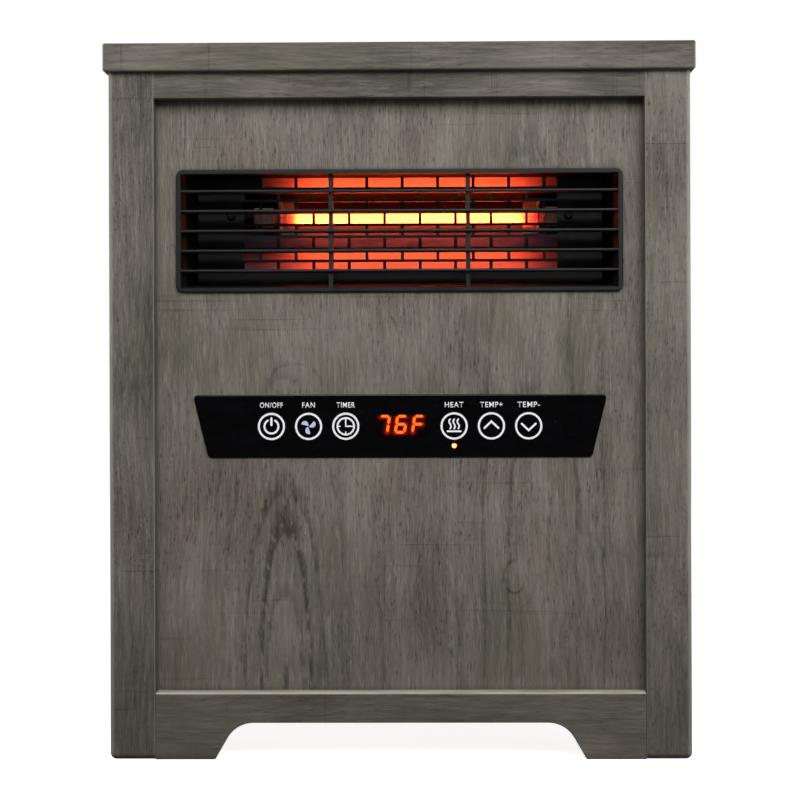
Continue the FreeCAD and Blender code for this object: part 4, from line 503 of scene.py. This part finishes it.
def galvanised(name, cellMm):
    # hot-dip zinc on sheet steel: grey spangles, each with its own sheen, and a chalky bloom in places
    material, tree, shader, place = startMaterial(name, Metallic=1.0)
    cells = addNode(tree, "TexVoronoi", {"Vector": place, "Scale": 1000 / cellMm, "Randomness": 1.0})
    cell = addNode(tree, "SeparateColor", {0: cells.outputs["Color"]}).outputs[0]
    bloom = between(tree, stretched(tree, place, 16, 4.0, 0.65), 0.50, 0.72)
    colour = tinted(tree, cell, "8f9499", "b4b8bb")
    colour = tinted(tree, times(tree, bloom, 0.5), colour, "9d9c98")
    # painted shade, darker in the corners
    join(shader, Base_Color=tinted(tree, tightCorner(tree, 6), colour, "4a4a4b"))
    rough = between(tree, cell, 0.0, 1.0, 0.28, 0.46)
    join(shader, Roughness=scaleAdd(tree, bloom, 0.18, rough))
    raised(shader, cells.outputs["Distance"], 0.015)
    return material


def zincPlated(name, tint):
    # bright zinc plate with a thin passivated tint, finely drawn under it
    material, tree, shader, place = startMaterial(name, Metallic=1.0)
    drawn = stretched(tree, place, (14, 0.5, 0.5), 2.0)
    cloud = stretched(tree, place, 5, 3.0)
    colour = tinted(tree, between(tree, cloud, 0.35, 0.70), "b3b5b6", tint)
    rub = times(tree, convexEdge(tree, 0.3), 0.5)
    join(shader, Base_Color=tinted(tree, rub, colour, "d8d9da"))
    join(shader, Roughness=between(tree, drawn, 0.3, 0.7, 0.20, 0.38))
    raised(shader, drawn, 0.008)
    return material


dress(galvanised("galvanisedSheet", 9.0), "heater_duct", "blower_housing")
dress(galvanised("galvanisedBrackets", 6.0), "steel_brackets")
dress(zincPlated("zincPlate.screws", "b9ad86"), "inner_screws", "motor_bridge", "thermal_devices")
dress(zincPlated("zincPlate.shaft", "a9abae"), "motor_rotor")

# stainless spring clips, heat-tinted straw to blue near the tube
material, tree, shader, place = startMaterial("springSteel", Metallic=1.0, Roughness=0.28)
near = axes(tree, place)["Z"]
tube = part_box("quartz_tube")
tubeMiddle = (tube[0] + tube[1]) / 2
heatBand = worked(tree, "ABSOLUTE", worked(tree, "SUBTRACT", near, tubeMiddle.z))
heatBand = scaleAdd(tree, stretched(tree, place, 3), 0.004, heatBand)
colour = addNode(tree, "ValToRGB", {0: between(tree, heatBand, 0.002, 0.013)}, stops=[
    (0.0, "6a6f8e"), (0.3, "9a7d6e"), (0.6, "c0a878"), (1.0, "bdbcb8")]).outputs[0]
join(shader, Base_Color=colour)
raised(shader, stretched(tree, place, (0.6, 8, 8)), 0.006)
dress(material, "tube_clips")


def aluminium(name, base, roughLow, roughHigh, lineMm, depth):
    # rolled aluminium: faint lines along the roll, which pull a reflection out sideways
    material, tree, shader, place = startMaterial(name, Metallic=1.0)
    rolled = stretched(tree, place, (60, lineMm, lineMm), 3.0, 0.6)
    stain = stretched(tree, place, 18, 3.0)
    join(shader, Base_Color=tinted(tree, between(tree, stain, 0.4, 0.8), base, "c8c6c4"))
    join(shader, Roughness=between(tree, rolled, 0.3, 0.7, roughLow, roughHigh))
    raised(shader, rolled, depth)
    return material


trough = {
    "hazy": "9c96ba", "shadedBack": "3c3444", "paintedShade": "120d12", "stain": "4a4656",
    "hazyRough": 0.64, "shadedBackRough": 0.50,
    # depth added to the lower flank, full below the first z and none above the second
    "shelter": 0.0045, "shelterFull": 0.300, "shelterEnd": 0.315,
    "flankFrom": 0.0050, "flankFull": 0.0085,  # distance in front of the trough's back
    "bendShadeFrom": 0.3135, "bendShadeFull": 0.3175,  # z of the upper bend
}
# the trough's aluminium: slanting facets baked hazy and bluish; back and upper bend painted dark as shade
material, tree, shader, place = startMaterial("heatTintedAluminium", Metallic=1.0)
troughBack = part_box("reflector")[1].y
sides = axes(tree, place)
depthIn = worked(tree, "SUBTRACT", troughBack, sides["Y"])
shelter = between(tree, sides["Z"], trough["shelterFull"], trough["shelterEnd"], trough["shelter"], 0.0)
depthIn = worked(tree, "ADD", depthIn, shelter)
bloom = stretched(tree, place, (22, 5, 5), 4.0, 0.6)
flank = between(tree, scaleAdd(tree, bloom, 0.002, depthIn), trough["flankFrom"], trough["flankFull"])
# painted shade: the back, near the trough's back plane, darker than the hazy facets
colour = tinted(tree, flank, trough["shadedBack"], trough["hazy"])
colour = tinted(tree, between(tree, bloom, 0.5, 0.8, 0.0, 0.4), colour, trough["stain"])
# painted shade on the upper bend
upperBend = between(tree, sides["Z"], trough["bendShadeFrom"], trough["bendShadeFull"])
paintedBendShade = times(tree, upperBend, between(tree, flank, 1.0, 0.2))
join(shader, Base_Color=tinted(tree, paintedBendShade, colour, trough["paintedShade"]))
rough = between(tree, flank, 0.0, 1.0, trough["shadedBackRough"], trough["hazyRough"])
join(shader, Roughness=scaleAdd(tree, bloom, 0.08, rough))
raised(shader, stretched(tree, place, (60, 0.8, 0.8), 3.0, 0.6), 0.010)
dress(material, "reflector")
dress(aluminium("millAluminium", "c9cacc", 0.30, 0.45, 0.5, 0.012), "core_fins", "impeller")

# dense steatite: an off-white, slightly waxy ceramic with a dusty mould skin
ceramic = {"base": "d9d4c9", "grey": "b8b2a8", "paintedShade": "6d6660"}
material, tree, shader, place = startMaterial("steatiteCeramic", Roughness=0.5, IOR=1.58,
                                              Subsurface_Weight=0.08, Subsurface_Scale=0.001)
skin = stretched(tree, place, 2.2, 4.0, 0.65)
colour = tinted(tree, between(tree, skin, 0.35, 0.7), ceramic["base"], ceramic["grey"])
# painted shade, darker in the corners
join(shader, Base_Color=tinted(tree, tightCorner(tree, 3), colour, ceramic["paintedShade"]))
join(shader, Roughness=between(tree, skin, 0.3, 0.7, 0.42, 0.62))
raised(shader, skin, 0.03)
dress(material, "ceramic_core", "tube_end_caps")

quartz = {
    # dull red at the cold ends to orange along the winding
    "low": "ff1206", "middle": "ff2a0c", "high": "ff5420",
    "power": 9.0,
    "leftCold": -0.0675, "leftHot": -0.0575,  # x where the glow starts, and where it is full
    "rightHot": 0.0640, "rightCold": 0.0830,
}
# fused quartz, satin from its own bubbles; the glow that the wire wound inside it lights in the glass is
# painted on as emission
material, tree, shader, place = startMaterial("satinQuartz", Roughness=0.18, IOR=1.458,
                                              Transmission_Weight=0.85)
along = axes(tree, place)["X"]
rise = between(tree, along, quartz["leftCold"], quartz["leftHot"])
fall = between(tree, along, quartz["rightCold"], quartz["rightHot"])
lit = times(tree, rise, fall)
bubbles = stretched(tree, place, (1.6, 0.8, 0.8), 3.0)
lit = times(tree, lit, between(tree, bubbles, 0.3, 0.7, 0.9, 1.1))
join(shader, Emission_Color=addNode(tree, "ValToRGB", {0: lit}, stops=[
    (0.0, quartz["low"]), (0.35, quartz["middle"]), (0.9, quartz["high"])]).outputs[0])
join(shader, Emission_Strength=times(tree, lit, quartz["power"]))
join(shader, Base_Color=tinted(tree, bubbles, "f3f3f1", "ffffff"))
raised(shader, bubbles, 0.01)
dress(material, "quartz_tube")
print("metals, ceramic and quartz")

# stacked motor steel: hair-thin laminations across the core's thickness, dark varnish between them
lamination = {"sheet": 1.0}  # real sheets are 0.5 mm; drawn at twice that
material, tree, shader, place = startMaterial("laminatedSteel", Metallic=0.85, Roughness=0.42)
across = axes(tree, place)["X"]
sheetEdge = worked(tree, "PINGPONG", across, lamination["sheet"] / 1000 / 2)
sheetEdge = between(tree, sheetEdge, 0.0, 0.0002)
rust = between(tree, stretched(tree, place, 5, 4.0, 0.7), 0.56, 0.75)
colour = tinted(tree, sheetEdge, "2b2724", "7d7f82")
join(shader, Base_Color=tinted(tree, rust, colour, "6b4a33"))
raised(shader, sheetEdge, 0.05)
dress(material, "motor_core")

# enamelled copper, wound side by side under a clear tape
wire = {"turn": 0.7}
material, tree, shader, place = startMaterial("enamelledCopper", Metallic=0.9, Roughness=0.25,
                                              Coat_Weight=0.4)
run = axes(tree, place)["X"]
turn = worked(tree, "PINGPONG", run, wire["turn"] / 1000 / 2)
turn = between(tree, turn, 0.0, wire["turn"] / 2000)
join(shader, Base_Color=tinted(tree, turn, "4a1c0e", "b8643a"))
raised(shader, turn, 0.2)
dress(material, "motor_coil")

# green glass-epoxy board: copper tracks show as paler green under the lacquer
board = {"mask": "0e3f2a", "track": "1f6a45", "trackPitch": 3.2}
material, tree, shader, place = startMaterial("glassEpoxyBoard", Roughness=0.32, IOR=1.55)
cells = addNode(tree, "TexVoronoi", {"Vector": place, "Scale": 1000 / board["trackPitch"]},
                distance="CHEBYCHEV", feature="F1")
track = between(tree, cells.outputs["Distance"], 0.42, 0.36)
join(shader, Base_Color=tinted(tree, track, board["mask"], board["track"]))
raised(shader, track, 0.035)
dress(material, "power_board", "control_board")

# relays, capacitors and terminal blocks in dark moulded cases
dress(mouldedAbs("pottedCases", "17181c", "24262c", 0.45, 0.8, 0.05), "power_components")

# the dust filter's woven nylon: fine black threads, with painted shade in the gaps: near-black, as the dark
# behind them
mesh = {"pitch": 1.6, "thread": "1b1c20", "gap": "020203"}  # real pitch is 0.8 mm; drawn at twice that
material, tree, shader, place = startMaterial("wovenNylon", Roughness=0.6, IOR=1.53)
parts = axes(tree, place)
warp = between(tree, worked(tree, "PINGPONG", parts["X"], mesh["pitch"] / 2000), 0.0, 0.0003, 1.0, 0.0)
weft = between(tree, worked(tree, "PINGPONG", parts["Z"], mesh["pitch"] / 2000), 0.0, 0.0003, 1.0, 0.0)
thread = worked(tree, "MAXIMUM", warp, weft)
lint = between(tree, stretched(tree, place, 7, 4.0, 0.7), 0.55, 0.75, 0.0, 0.35)
colour = tinted(tree, thread, mesh["gap"], mesh["thread"])
join(shader, Base_Color=tinted(tree, lint, colour, "4c4a48"))
raised(shader, thread, 0.3)
dress(material, "filter_mesh")

# the gland's rubber: matt, grey-black, a little bloomed
material, tree, shader, place = startMaterial("mouldedRubber", Roughness=0.72, IOR=1.52, Sheen_Weight=0.15)
bloom = stretched(tree, place, 4, 4.0, 0.65)
colour = tinted(tree, between(tree, bloom, 0.4, 0.75), "121214", "26262a")
rub = times(tree, convexEdge(tree, 0.6), 0.35)
join(shader, Base_Color=tinted(tree, rub, colour, "38383c"))
raised(shader, stretched(tree, place, 0.5, 2.0), 0.03)
dress(material, "cord_gland")

# turned brass weight, gone brown with handling
material, tree, shader, place = startMaterial("turnedBrass", Metallic=1.0, Roughness=0.3)
tarnish = stretched(tree, place, 4, 4.0, 0.65)
turned = stretched(tree, place, (30, 30, 0.4), 1.0)
join(shader, Base_Color=tinted(tree, between(tree, tarnish, 0.4, 0.7), "c9a452", "7c5a2a"))
join(shader, Roughness=between(tree, turned, 0.3, 0.7, 0.22, 0.40))
raised(shader, turned, 0.02)
dress(material, "tilt_pendulum")

pilot = {"core": "ffd86a", "rim": "ff3a06", "power": 3.2}
# amber light pipe with a lamp behind it: nearly yellow at the middle, orange-red at the rim
material, tree, shader, place = startMaterial("amberLightPipe", Roughness=0.25, IOR=1.49)
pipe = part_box("heat_indicator")
pipeMiddle = (pipe[0] + pipe[1]) / 2
pipeRadius = (pipe[1].x - pipe[0].x) / 2
local = vectors(tree, "SUBTRACT", place, tuple(pipeMiddle))
out = vectors(tree, "LENGTH", vectors(tree, "MULTIPLY", local, (1.0, 0.0, 1.0)), output="Value")
haze = between(tree, stretched(tree, place, 0.6), 0.3, 0.7, -0.0003, 0.0003)
fromRim = between(tree, worked(tree, "ADD", out, haze), pipeRadius * 1.05, pipeRadius * 0.45)
join(shader, Emission_Color=tinted(tree, fromRim, pilot["rim"], pilot["core"]))
join(shader, Emission_Strength=between(tree, fromRim, 0.0, 1.0, 0.5, pilot["power"]))
join(shader, Base_Color=tinted(tree, fromRim, "7a2205", "c8741a"))
dress(material, "heat_indicator")


# pieces added to the frame

def addPiece(name, bm, material, body, thickMm=0.0):
    # a mesh becomes a named piece that rides on a body; a printed mark is given its ink's thickness
    meshData = bpy.data.meshes.new(name)
    bmesh.ops.recalc_face_normals(bm, faces=bm.faces)
    bm.to_mesh(meshData)
    bm.free()
    piece = addObject(name, meshData)
    meshData.materials.append(material)
    if thickMm:
        film = piece.modifiers.new("thickness", "SOLIDIFY")
        film.thickness, film.offset = thickMm / 1000, 0.0
    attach(piece, body)
    return piece


def stroke(bm, points, width, closed=False):
    # a pen line of even width through points (x, z), mitred at its corners, round at its ends
    count = len(points)
    rails = []
    for i, here in enumerate(points):
        back = points[i - 1] if closed or i else None
        on = points[(i + 1) % count] if closed or i < count - 1 else None
        into = (here - back).normalized() if back else (on - here).normalized()
        away = (on - here).normalized() if on else into
        across = Vector((-(into.y + away.y), into.x + away.x)).normalized()
        reach = width / 2 / max(0.5, across.dot(Vector((-into.y, into.x))))
        rails.append([bm.verts.new((p.x, 0.0, p.y)) for p in (here + across * reach, here - across * reach)])
    for i in range(count if closed else count - 1):
        one, two = rails[i], rails[(i + 1) % count]
        bm.faces.new((one[0], two[0], two[1], one[1]))
    if not closed:
        for end, inner, rail in ((points[0], points[1], rails[0]), (points[-1], points[-2], rails[-1][::-1])):
            outward = (end - inner).normalized()
            start = math.atan2(outward.y, outward.x) + math.pi / 2
            arc = [bm.verts.new((end.x + width / 2 * math.cos(start - math.pi * k / 8), 0.0,
                                 end.y + width / 2 * math.sin(start - math.pi * k / 8))) for k in range(1, 8)]
            bm.faces.new([rail[1]] + arc + [rail[0]])


def arcPoints(centre, radius, fromDeg, toDeg, steps):
    return [centre + Vector((math.cos(math.radians(a)), math.sin(math.radians(a)))) * radius
            for a in (fromDeg + (toDeg - fromDeg) * k / steps for k in range(steps + 1))]


def circlePoints(centre, radius, steps=96):
    return arcPoints(centre, radius, 0, 360 - 360 / steps, steps - 1)


print("work on the printed marks")
ink = {"white": "f2f2f4", "worn": "c9c9cc", "fanBlue": "c3c9e2", "thick": 0.06, "standOff": 0.00004}


def printedInk(name, base):
    # screen-printed ink: matt and faintly mottled, thin at the weave of the screen
    material, tree, shader, place = startMaterial(name, Roughness=0.5, IOR=1.5, Emission_Strength=0.30)
    # a faint painted glow: the ink is given emission as if lit from behind, on every mark printed with it
    shader.inputs["Emission Color"].default_value = linear(base)
    mottle = stretched(tree, place, 0.5, 3.0)
    join(shader, Base_Color=tinted(tree, between(tree, mottle, 0.5, 0.8), base, ink["worn"]))
    raised(shader, mottle, 0.005)
    return material


whiteInk = printedInk("screenInk.white", ink["white"])
paleInk = printedInk("screenInk.pale", ink["fanBlue"])
keyMarks = {
    "ringRadius": 0.0072, "ringWidth": 0.00115, "line": 0.00112,
    "labelHeight": 0.0031, "labelRise": 0.0122,
    # each key's words and how wide they run
    "labels": {"power": ("ON/OFF", 0.0131), "fan": ("FAN", 0.0073), "timer": ("TIMER", 0.0105),
               "heat": ("HEAT", 0.0107), "temp_up": ("TEMP+", 0.0129), "temp_down": ("TEMP-", 0.0129)},
}


def keyIcon(bm, name, c):
    # the sign inside each key's ring; c is the key's centre as (x, z)
    line, mm = keyMarks["line"], 0.001

    def at(x, z):
        return c + Vector((x * mm, z * mm))

    if name == "power":
        stroke(bm, arcPoints(c, 4.0 * mm, 122, 418, 36), line)
        stroke(bm, [at(0, 0.9), at(0, 4.6)], line * 1.15)
    elif name == "timer":
        stroke(bm, circlePoints(c, 4.75 * mm), line * 0.9, closed=True)
        for degrees in (0, 90, 180, 270):
            out = Vector((math.cos(math.radians(degrees)), math.sin(math.radians(degrees))))
            stroke(bm, [c + out * 3.3 * mm, c + out * 4.1 * mm], line * 0.6)
        stroke(bm, [at(0, 3.2), at(0, 0), at(2.7, 0)], line * 0.7)
    elif name == "heat":
        for shift in (-2.35, 0.0, 2.35):
            wave = [c + Vector((shift + 0.55 * math.sin(t * math.tau), -1.5 + 5.4 * t)) * mm
                    for t in (k / 16 for k in range(17))]
            stroke(bm, wave, line * 0.80)
        stroke(bm, [at(-3.7, -3.0), at(3.7, -3.0)], line * 0.92)
    elif name in ("temp_up", "temp_down"):
        up = 1 if name == "temp_up" else -1
        stroke(bm, [at(-4.0, -1.2 * up), at(0, 2.6 * up), at(4.0, -1.2 * up)], line)


# lengths in mm
fan = {"turns": (125, 5, 245), "points": 28,
       "hub": 0.35, "length": 4.1, "sweep": 30, "front": 1.15, "back": 1.75}


def fanBlades(bm, c):
    # three broad blades swept round a hub
    for turn in fan["turns"]:
        outline = []
        for k in range(fan["points"]):
            t = k / fan["points"]
            along = 0.5 - 0.5 * math.cos(t * math.tau)
            side = math.sin(t * math.tau) * fan["front" if t < 0.5 else "back"] * (0.45 + 0.75 * along)
            reach, sweep = fan["hub"] + fan["length"] * along, math.radians(turn + fan["sweep"] * along)
            x = reach * math.cos(sweep) - side * math.sin(sweep)
            z = reach * math.sin(sweep) + side * math.cos(sweep)
            outline.append(bm.verts.new((c.x + x * 0.001, 0.0, c.y + z * 0.001)))
        bm.faces.new(outline)


def labelMesh(words, height, width):
    # letters from the built-in type, emboldened a little and sized by their capitals
    curve = bpy.data.curves.new("label", "FONT")
    curve.body, curve.align_x, curve.offset, curve.space_character = words, "CENTER", 0.010, 1.12
    holder = addObject("label", curve)
    bpy.context.view_layer.update()
    flat = bpy.data.meshes.new_from_object(holder.evaluated_get(bpy.context.evaluated_depsgraph_get()))
    bpy.data.objects.remove(holder)
    bm = bmesh.new()
    bm.from_mesh(flat)
    bpy.data.meshes.remove(flat)
    xs, ys = [v.co.x for v in bm.verts], [v.co.y for v in bm.verts]
    across, up = width / (max(xs) - min(xs)), height / (max(ys) - min(ys))
    for v in bm.verts:
        v.co = ((v.co.x - (max(xs) + min(xs)) / 2) * across, 0.0, (v.co.y - (max(ys) + min(ys)) / 2) * up)
    bmesh.ops.remove_doubles(bm, verts=bm.verts, dist=1e-7)
    return bm


for name, (words, wide) in keyMarks["labels"].items():
    low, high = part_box(name + "_key")
    centre = Vector(((low.x + high.x) / 2, (low.z + high.z) / 2))
    front = low.y - ink["standOff"]
    bm = bmesh.new()
    stroke(bm, circlePoints(centre, keyMarks["ringRadius"]), keyMarks["ringWidth"], closed=True)
    if name != "fan":
        keyIcon(bm, name, centre)
    bmesh.ops.translate(bm, verts=bm.verts, vec=(0, front, 0))
    addPiece(name + "_ring", bm, whiteInk, name + "_key", ink["thick"])
    if name == "fan":
        bm = bmesh.new()
        fanBlades(bm, centre)
        bmesh.ops.translate(bm, verts=bm.verts, vec=(0, front, 0))
        addPiece("fan_blades_mark", bm, paleInk, "fan_key", ink["thick"])
    bm = labelMesh(words, keyMarks["labelHeight"], wide)
    bmesh.ops.translate(bm, verts=bm.verts, vec=(centre.x, front, centre.y + keyMarks["labelRise"]))
    addPiece(name + "_label", bm, whiteInk, "cabinet", ink["thick"])
print("key marks and labels:", len(keyMarks["labels"]))

digits = {
    "text": "76F",
    "height": 0.0092, "width": 0.0052, "pitch": 0.0098, "segment": 0.00155, "gap": 0.00016,
    "slant": math.tan(math.radians(8)),
    "offsetX": 0.0006, "offsetZ": 0.0011,
    "on": {"7": "abc", "6": "acdefg", "F": "aefg"},
    "core": "ffe27c", "rim": "ff7416", "rimPower": 1.3, "power": 2.4,
    "halo": "ff1c04", "haloPower": 0.46, "haloReach": 0.0007, "haloEdge": 0.0016,
    "standOff": 0.00012, "thick": 0.04,  # of the segments: before the window, and in mm
    "filmOff": 0.00003, "filmThick": 0.02, "filmInset": 0.0004, "filmCells": (118, 52),
}


def segmentRuns(letter, centreX, centreZ):
    # each lit segment as its two end points, before the slant
    w, h = digits["width"] / 2, digits["height"] / 2
    runs = {"a": ((-w, h), (w, h)), "b": ((w, h), (w, 0)), "c": ((w, 0), (w, -h)), "d": ((-w, -h), (w, -h)),
            "e": ((-w, -h), (-w, 0)), "f": ((-w, 0), (-w, h)), "g": ((-w, 0), (w, 0))}
    made = []
    for key in digits["on"][letter]:
        ends = [Vector(p) for p in runs[key]]
        trim = (ends[1] - ends[0]).normalized() * digits["gap"]
        ends = [ends[0] + trim, ends[1] - trim]
        made.append([Vector((centreX + p.x + p.y * digits["slant"], centreZ + p.y)) for p in ends])
    return made


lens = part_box("display_lens")
lensMiddle = (lens[0] + lens[1]) / 2
runs = []
for i, letter in enumerate(digits["text"]):
    x = lensMiddle.x + digits["offsetX"] + (i - (len(digits["text"]) - 1) / 2) * digits["pitch"]
    runs += segmentRuns(letter, x, lensMiddle.z + digits["offsetZ"])

# the lit segments: six-sided bars with a ridge line that carries the brightness
bm = bmesh.new()
heat = bm.verts.layers.float.new("heat")
for a, b in runs:
    along = (b - a).normalized()
    side = Vector((-along.y, along.x)) * digits["segment"] / 2
    tip = along * digits["segment"] / 2
    inner = [a + tip, b - tip]
    rim = [a, a + tip + side, b - tip + side, b, b - tip - side, a + tip - side]
    rimVerts = [bm.verts.new((p.x, 0, p.y)) for p in rim]
    innerVerts = [bm.verts.new((p.x, 0, p.y)) for p in inner]
    for v in innerVerts:
        v[heat] = 1.0
    o, s = rimVerts, innerVerts
    for face in ((o[0], o[1], s[0]), (o[1], o[2], s[1], s[0]), (o[2], o[3], s[1]), (o[3], o[4], s[1]),
                 (o[4], o[5], s[0], s[1]), (o[5], o[0], s[0])):
        bm.faces.new(face)
bmesh.ops.translate(bm, verts=bm.verts, vec=(0, lens[0].y - digits["standOff"], 0))
# a light-emitting segment behind a tinted window: nearly yellow along its middle, orange at its rim
material, tree, shader, place = startMaterial("litSegment", Roughness=0.35, IOR=1.49)
warmth = addNode(tree, "Attribute", attribute_name="heat").outputs["Fac"]
warmth = worked(tree, "SUBTRACT", warmth, 0.1)
warmth = scaleAdd(tree, stretched(tree, place, 0.5), 0.2, warmth)
join(shader, Emission_Color=tinted(tree, between(tree, warmth, 0.0, 0.42), digits["rim"], digits["core"]))
join(shader, Emission_Strength=between(tree, warmth, 0.0, 0.6, digits["rimPower"], digits["power"]))
join(shader, Base_Color=tinted(tree, warmth, "2a0602", "5a1604"))
addPiece("display_segments", bm, material, "cabinet", digits["thick"])

# the painted glow round them: a thin film on the window whose points know how near a lit segment is
bm = bmesh.new()
near = bm.verts.layers.float.new("near")
inset, (cellsX, cellsZ) = digits["filmInset"], digits["filmCells"]
xs = [lens[0].x + inset + (lens[1].x - lens[0].x - 2 * inset) * i / cellsX for i in range(cellsX + 1)]
zs = [lens[0].z + inset + (lens[1].z - lens[0].z - 2 * inset) * k / cellsZ for k in range(cellsZ + 1)]
grid = []
for z in zs:
    row = []
    for x in xs:
        here = Vector((x, z))
        glowAt = 0.0
        for a, b in runs:
            t = max(0.0, min(1.0, (here - a).dot(b - a) / (b - a).length_squared))
            gap = max(0.0, (here - a - (b - a) * t).length - digits["segment"] / 2)
            glowAt = max(glowAt, math.exp(-gap / digits["haloReach"]))
        toEdge = min(x - xs[0], xs[-1] - x, z - zs[0], zs[-1] - z) / digits["haloEdge"]
        vert = bm.verts.new((x, lens[0].y - digits["filmOff"], z))
        vert[near] = glowAt * min(1.0, toEdge)
        row.append(vert)
    grid.append(row)
for k in range(len(zs) - 1):
    for i in range(len(xs) - 1):
        bm.faces.new((grid[k][i], grid[k][i + 1], grid[k + 1][i + 1], grid[k + 1][i]))
material, tree, shader, place = startMaterial("tintedWindow", Roughness=0.12, IOR=1.49)
shader.inputs["Emission Color"].default_value = linear(digits["halo"])
warmth = addNode(tree, "Attribute", attribute_name="near").outputs["Fac"]
warmth = worked(tree, "POWER", warmth, 1.3)
join(shader, Emission_Strength=times(tree, warmth, digits["haloPower"]))
join(shader, Base_Color=tinted(tree, warmth, "050406", "160404"))
addPiece("display_window_film", bm, material, "cabinet", digits["filmThick"])
print("display:", digits["text"])


# the heating coil, wound wire in place of its envelope

coil = {
    "radius": 0.0024, "wire": 0.00042, "pitch": 0.0019,
    "start": -0.06425, "end": 0.07485, "tail": 0.0221, "lead": 0.0015,
    "stepsPerTurn": 14, "sides": 7,
    "swellRate": 12, "swellPower": 0.3,  # how fast the winding opens out from its leads
    "tab": (0.0010, 0.0050, 0.0060), "tabHole": 0.0011, "tabSides": 24,
    "hot": "ff6c10", "dull": "7a1204", "power": 4.0,
}


def wireAlong(bm, points, radius, sides):
    # a round wire through points, its rings carried along without twist
    rings, upright = [], Vector((0, 0, 1))
    for i, point in enumerate(points):
        ahead = (points[min(i + 1, len(points) - 1)] - points[max(i - 1, 0)]).normalized()
        upright = (upright - ahead * upright.dot(ahead)).normalized()
        aside = ahead.cross(upright)
        rings.append([bm.verts.new(point + (upright * math.cos(a) + aside * math.sin(a)) * radius)
                      for a in (math.tau * k / sides for k in range(sides))])
    for one, two in zip(rings, rings[1:]):
        for k in range(sides):
            bm.faces.new((one[k], one[(k + 1) % sides], two[(k + 1) % sides], two[k])).smooth = True
    for ring in (rings[0][::-1], rings[-1]):
        bm.faces.new(ring)


def coilLine():
    y, z = tubeMiddle.y, tubeMiddle.z
    turns = (coil["end"] - coil["start"]) / coil["pitch"]
    steps = int(turns * coil["stepsPerTurn"])
    line = [Vector((coil["start"] - coil["tail"], y, z)), Vector((coil["start"] - coil["lead"], y, z))]
    for k in range(steps + 1):
        t = k / steps
        rise = min(1.0, coil["swellRate"] * t, coil["swellRate"] * (1 - t))
        swell = coil["radius"] * rise ** coil["swellPower"]
        angle = math.tau * turns * t
        line.append(Vector((coil["start"] + (coil["end"] - coil["start"]) * t, y + swell * math.sin(angle),
                            z + swell * math.cos(angle))))
    return line + [Vector((coil["end"] + coil["lead"], y, z)), Vector((coil["end"] + coil["tail"], y, z))]


bm = bmesh.new()
wireAlong(bm, coilLine(), coil["wire"], coil["sides"])
for x in (coil["start"] - coil["tail"], coil["end"] + coil["tail"]):  # spade tabs, each a washer-like plate
    thick, wide, tall = coil["tab"]
    rings, sides = [], coil["tabSides"]
    for face in (-thick / 2, thick / 2):
        outer, inner = [], []
        for k in range(sides):
            angle = math.tau * k / sides
            c, s = math.cos(angle), math.sin(angle)
            square = 1 / max(abs(c), abs(s)) * 0.98
            outer.append(bm.verts.new((x + face, tubeMiddle.y + c * square * wide / 2,
                                       tubeMiddle.z + s * square * tall / 2)))
            inner.append(bm.verts.new((x + face, tubeMiddle.y + c * coil["tabHole"],
                                       tubeMiddle.z + s * coil["tabHole"])))
        rings.append((outer, inner))
    for k in range(sides):
        n = (k + 1) % sides
        (o1, i1), (o2, i2) = rings
        for quad in ((o1[k], o1[n], i1[n], i1[k]), (o2[n], o2[k], i2[k], i2[n]), (o1[n], o1[k], o2[k], o2[n]),
                     (i1[k], i1[n], i2[n], i2[k])):
            bm.faces.new(quad)
# resistance wire: orange-yellow while lit, going to scaled grey where it is cold
material, tree, shader, place = startMaterial("resistanceWire", Metallic=0.6, Roughness=0.5)
along = axes(tree, place)["X"]
lit = times(tree, between(tree, along, coil["start"] - 0.002, coil["start"] + 0.006),
            between(tree, along, coil["end"] + 0.002, coil["end"] - 0.010))
scale = stretched(tree, place, 0.8, 3.0)
join(shader, Emission_Color=tinted(tree, lit, coil["dull"], coil["hot"]))
join(shader, Emission_Strength=times(tree, lit, coil["power"]))
join(shader, Base_Color=tinted(tree, scale, "4a4744", "77736e"))
raised(shader, scale, 0.02)
coilPiece = addPiece("heating_coil_wire", bm, material, "cabinet")
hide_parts("heating_coil")
print("heating coil wound")

# the rocker's two signs, moulded in white on its sloping faces

rocker = {
    "valley": (0.1366, 0.0740),  # y, z of the line where its two faces meet
    "top": (0.1360, 0.0829), "bottom": (0.1398, 0.0656),
    "line": 0.0007, "ring": 0.0021, "bar": 0.0042, "standOff": 0.00006, "thick": 0.05,
    "share": 0.52,  # how far out on its face a sign sits
}
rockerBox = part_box("rocker_button")
rockerX = (rockerBox[0].x + rockerBox[1].x) / 2
for name, end, shape in (("rocker_on_mark", rocker["top"], "bar"),
                         ("rocker_off_mark", rocker["bottom"], "ring")):
    bm = bmesh.new()
    if shape == "bar":
        stroke(bm, [Vector((0, -rocker["bar"] / 2)), Vector((0, rocker["bar"] / 2))], rocker["line"])
    else:
        stroke(bm, circlePoints(Vector((0, 0)), rocker["ring"], 32), rocker["line"], closed=True)
    y0, z0 = rocker["valley"]
    y1, z1 = end
    slope = (y1 - y0) / (z1 - z0)
    middleZ = z0 + (z1 - z0) * rocker["share"]
    for v in bm.verts:
        z = middleZ + v.co.z
        v.co = Vector((rockerX + v.co.x, y0 + slope * (z - z0) + rocker["standOff"], z))
    addPiece(name, bm, whiteInk, "rocker", rocker["thick"])
print("rocker marks")
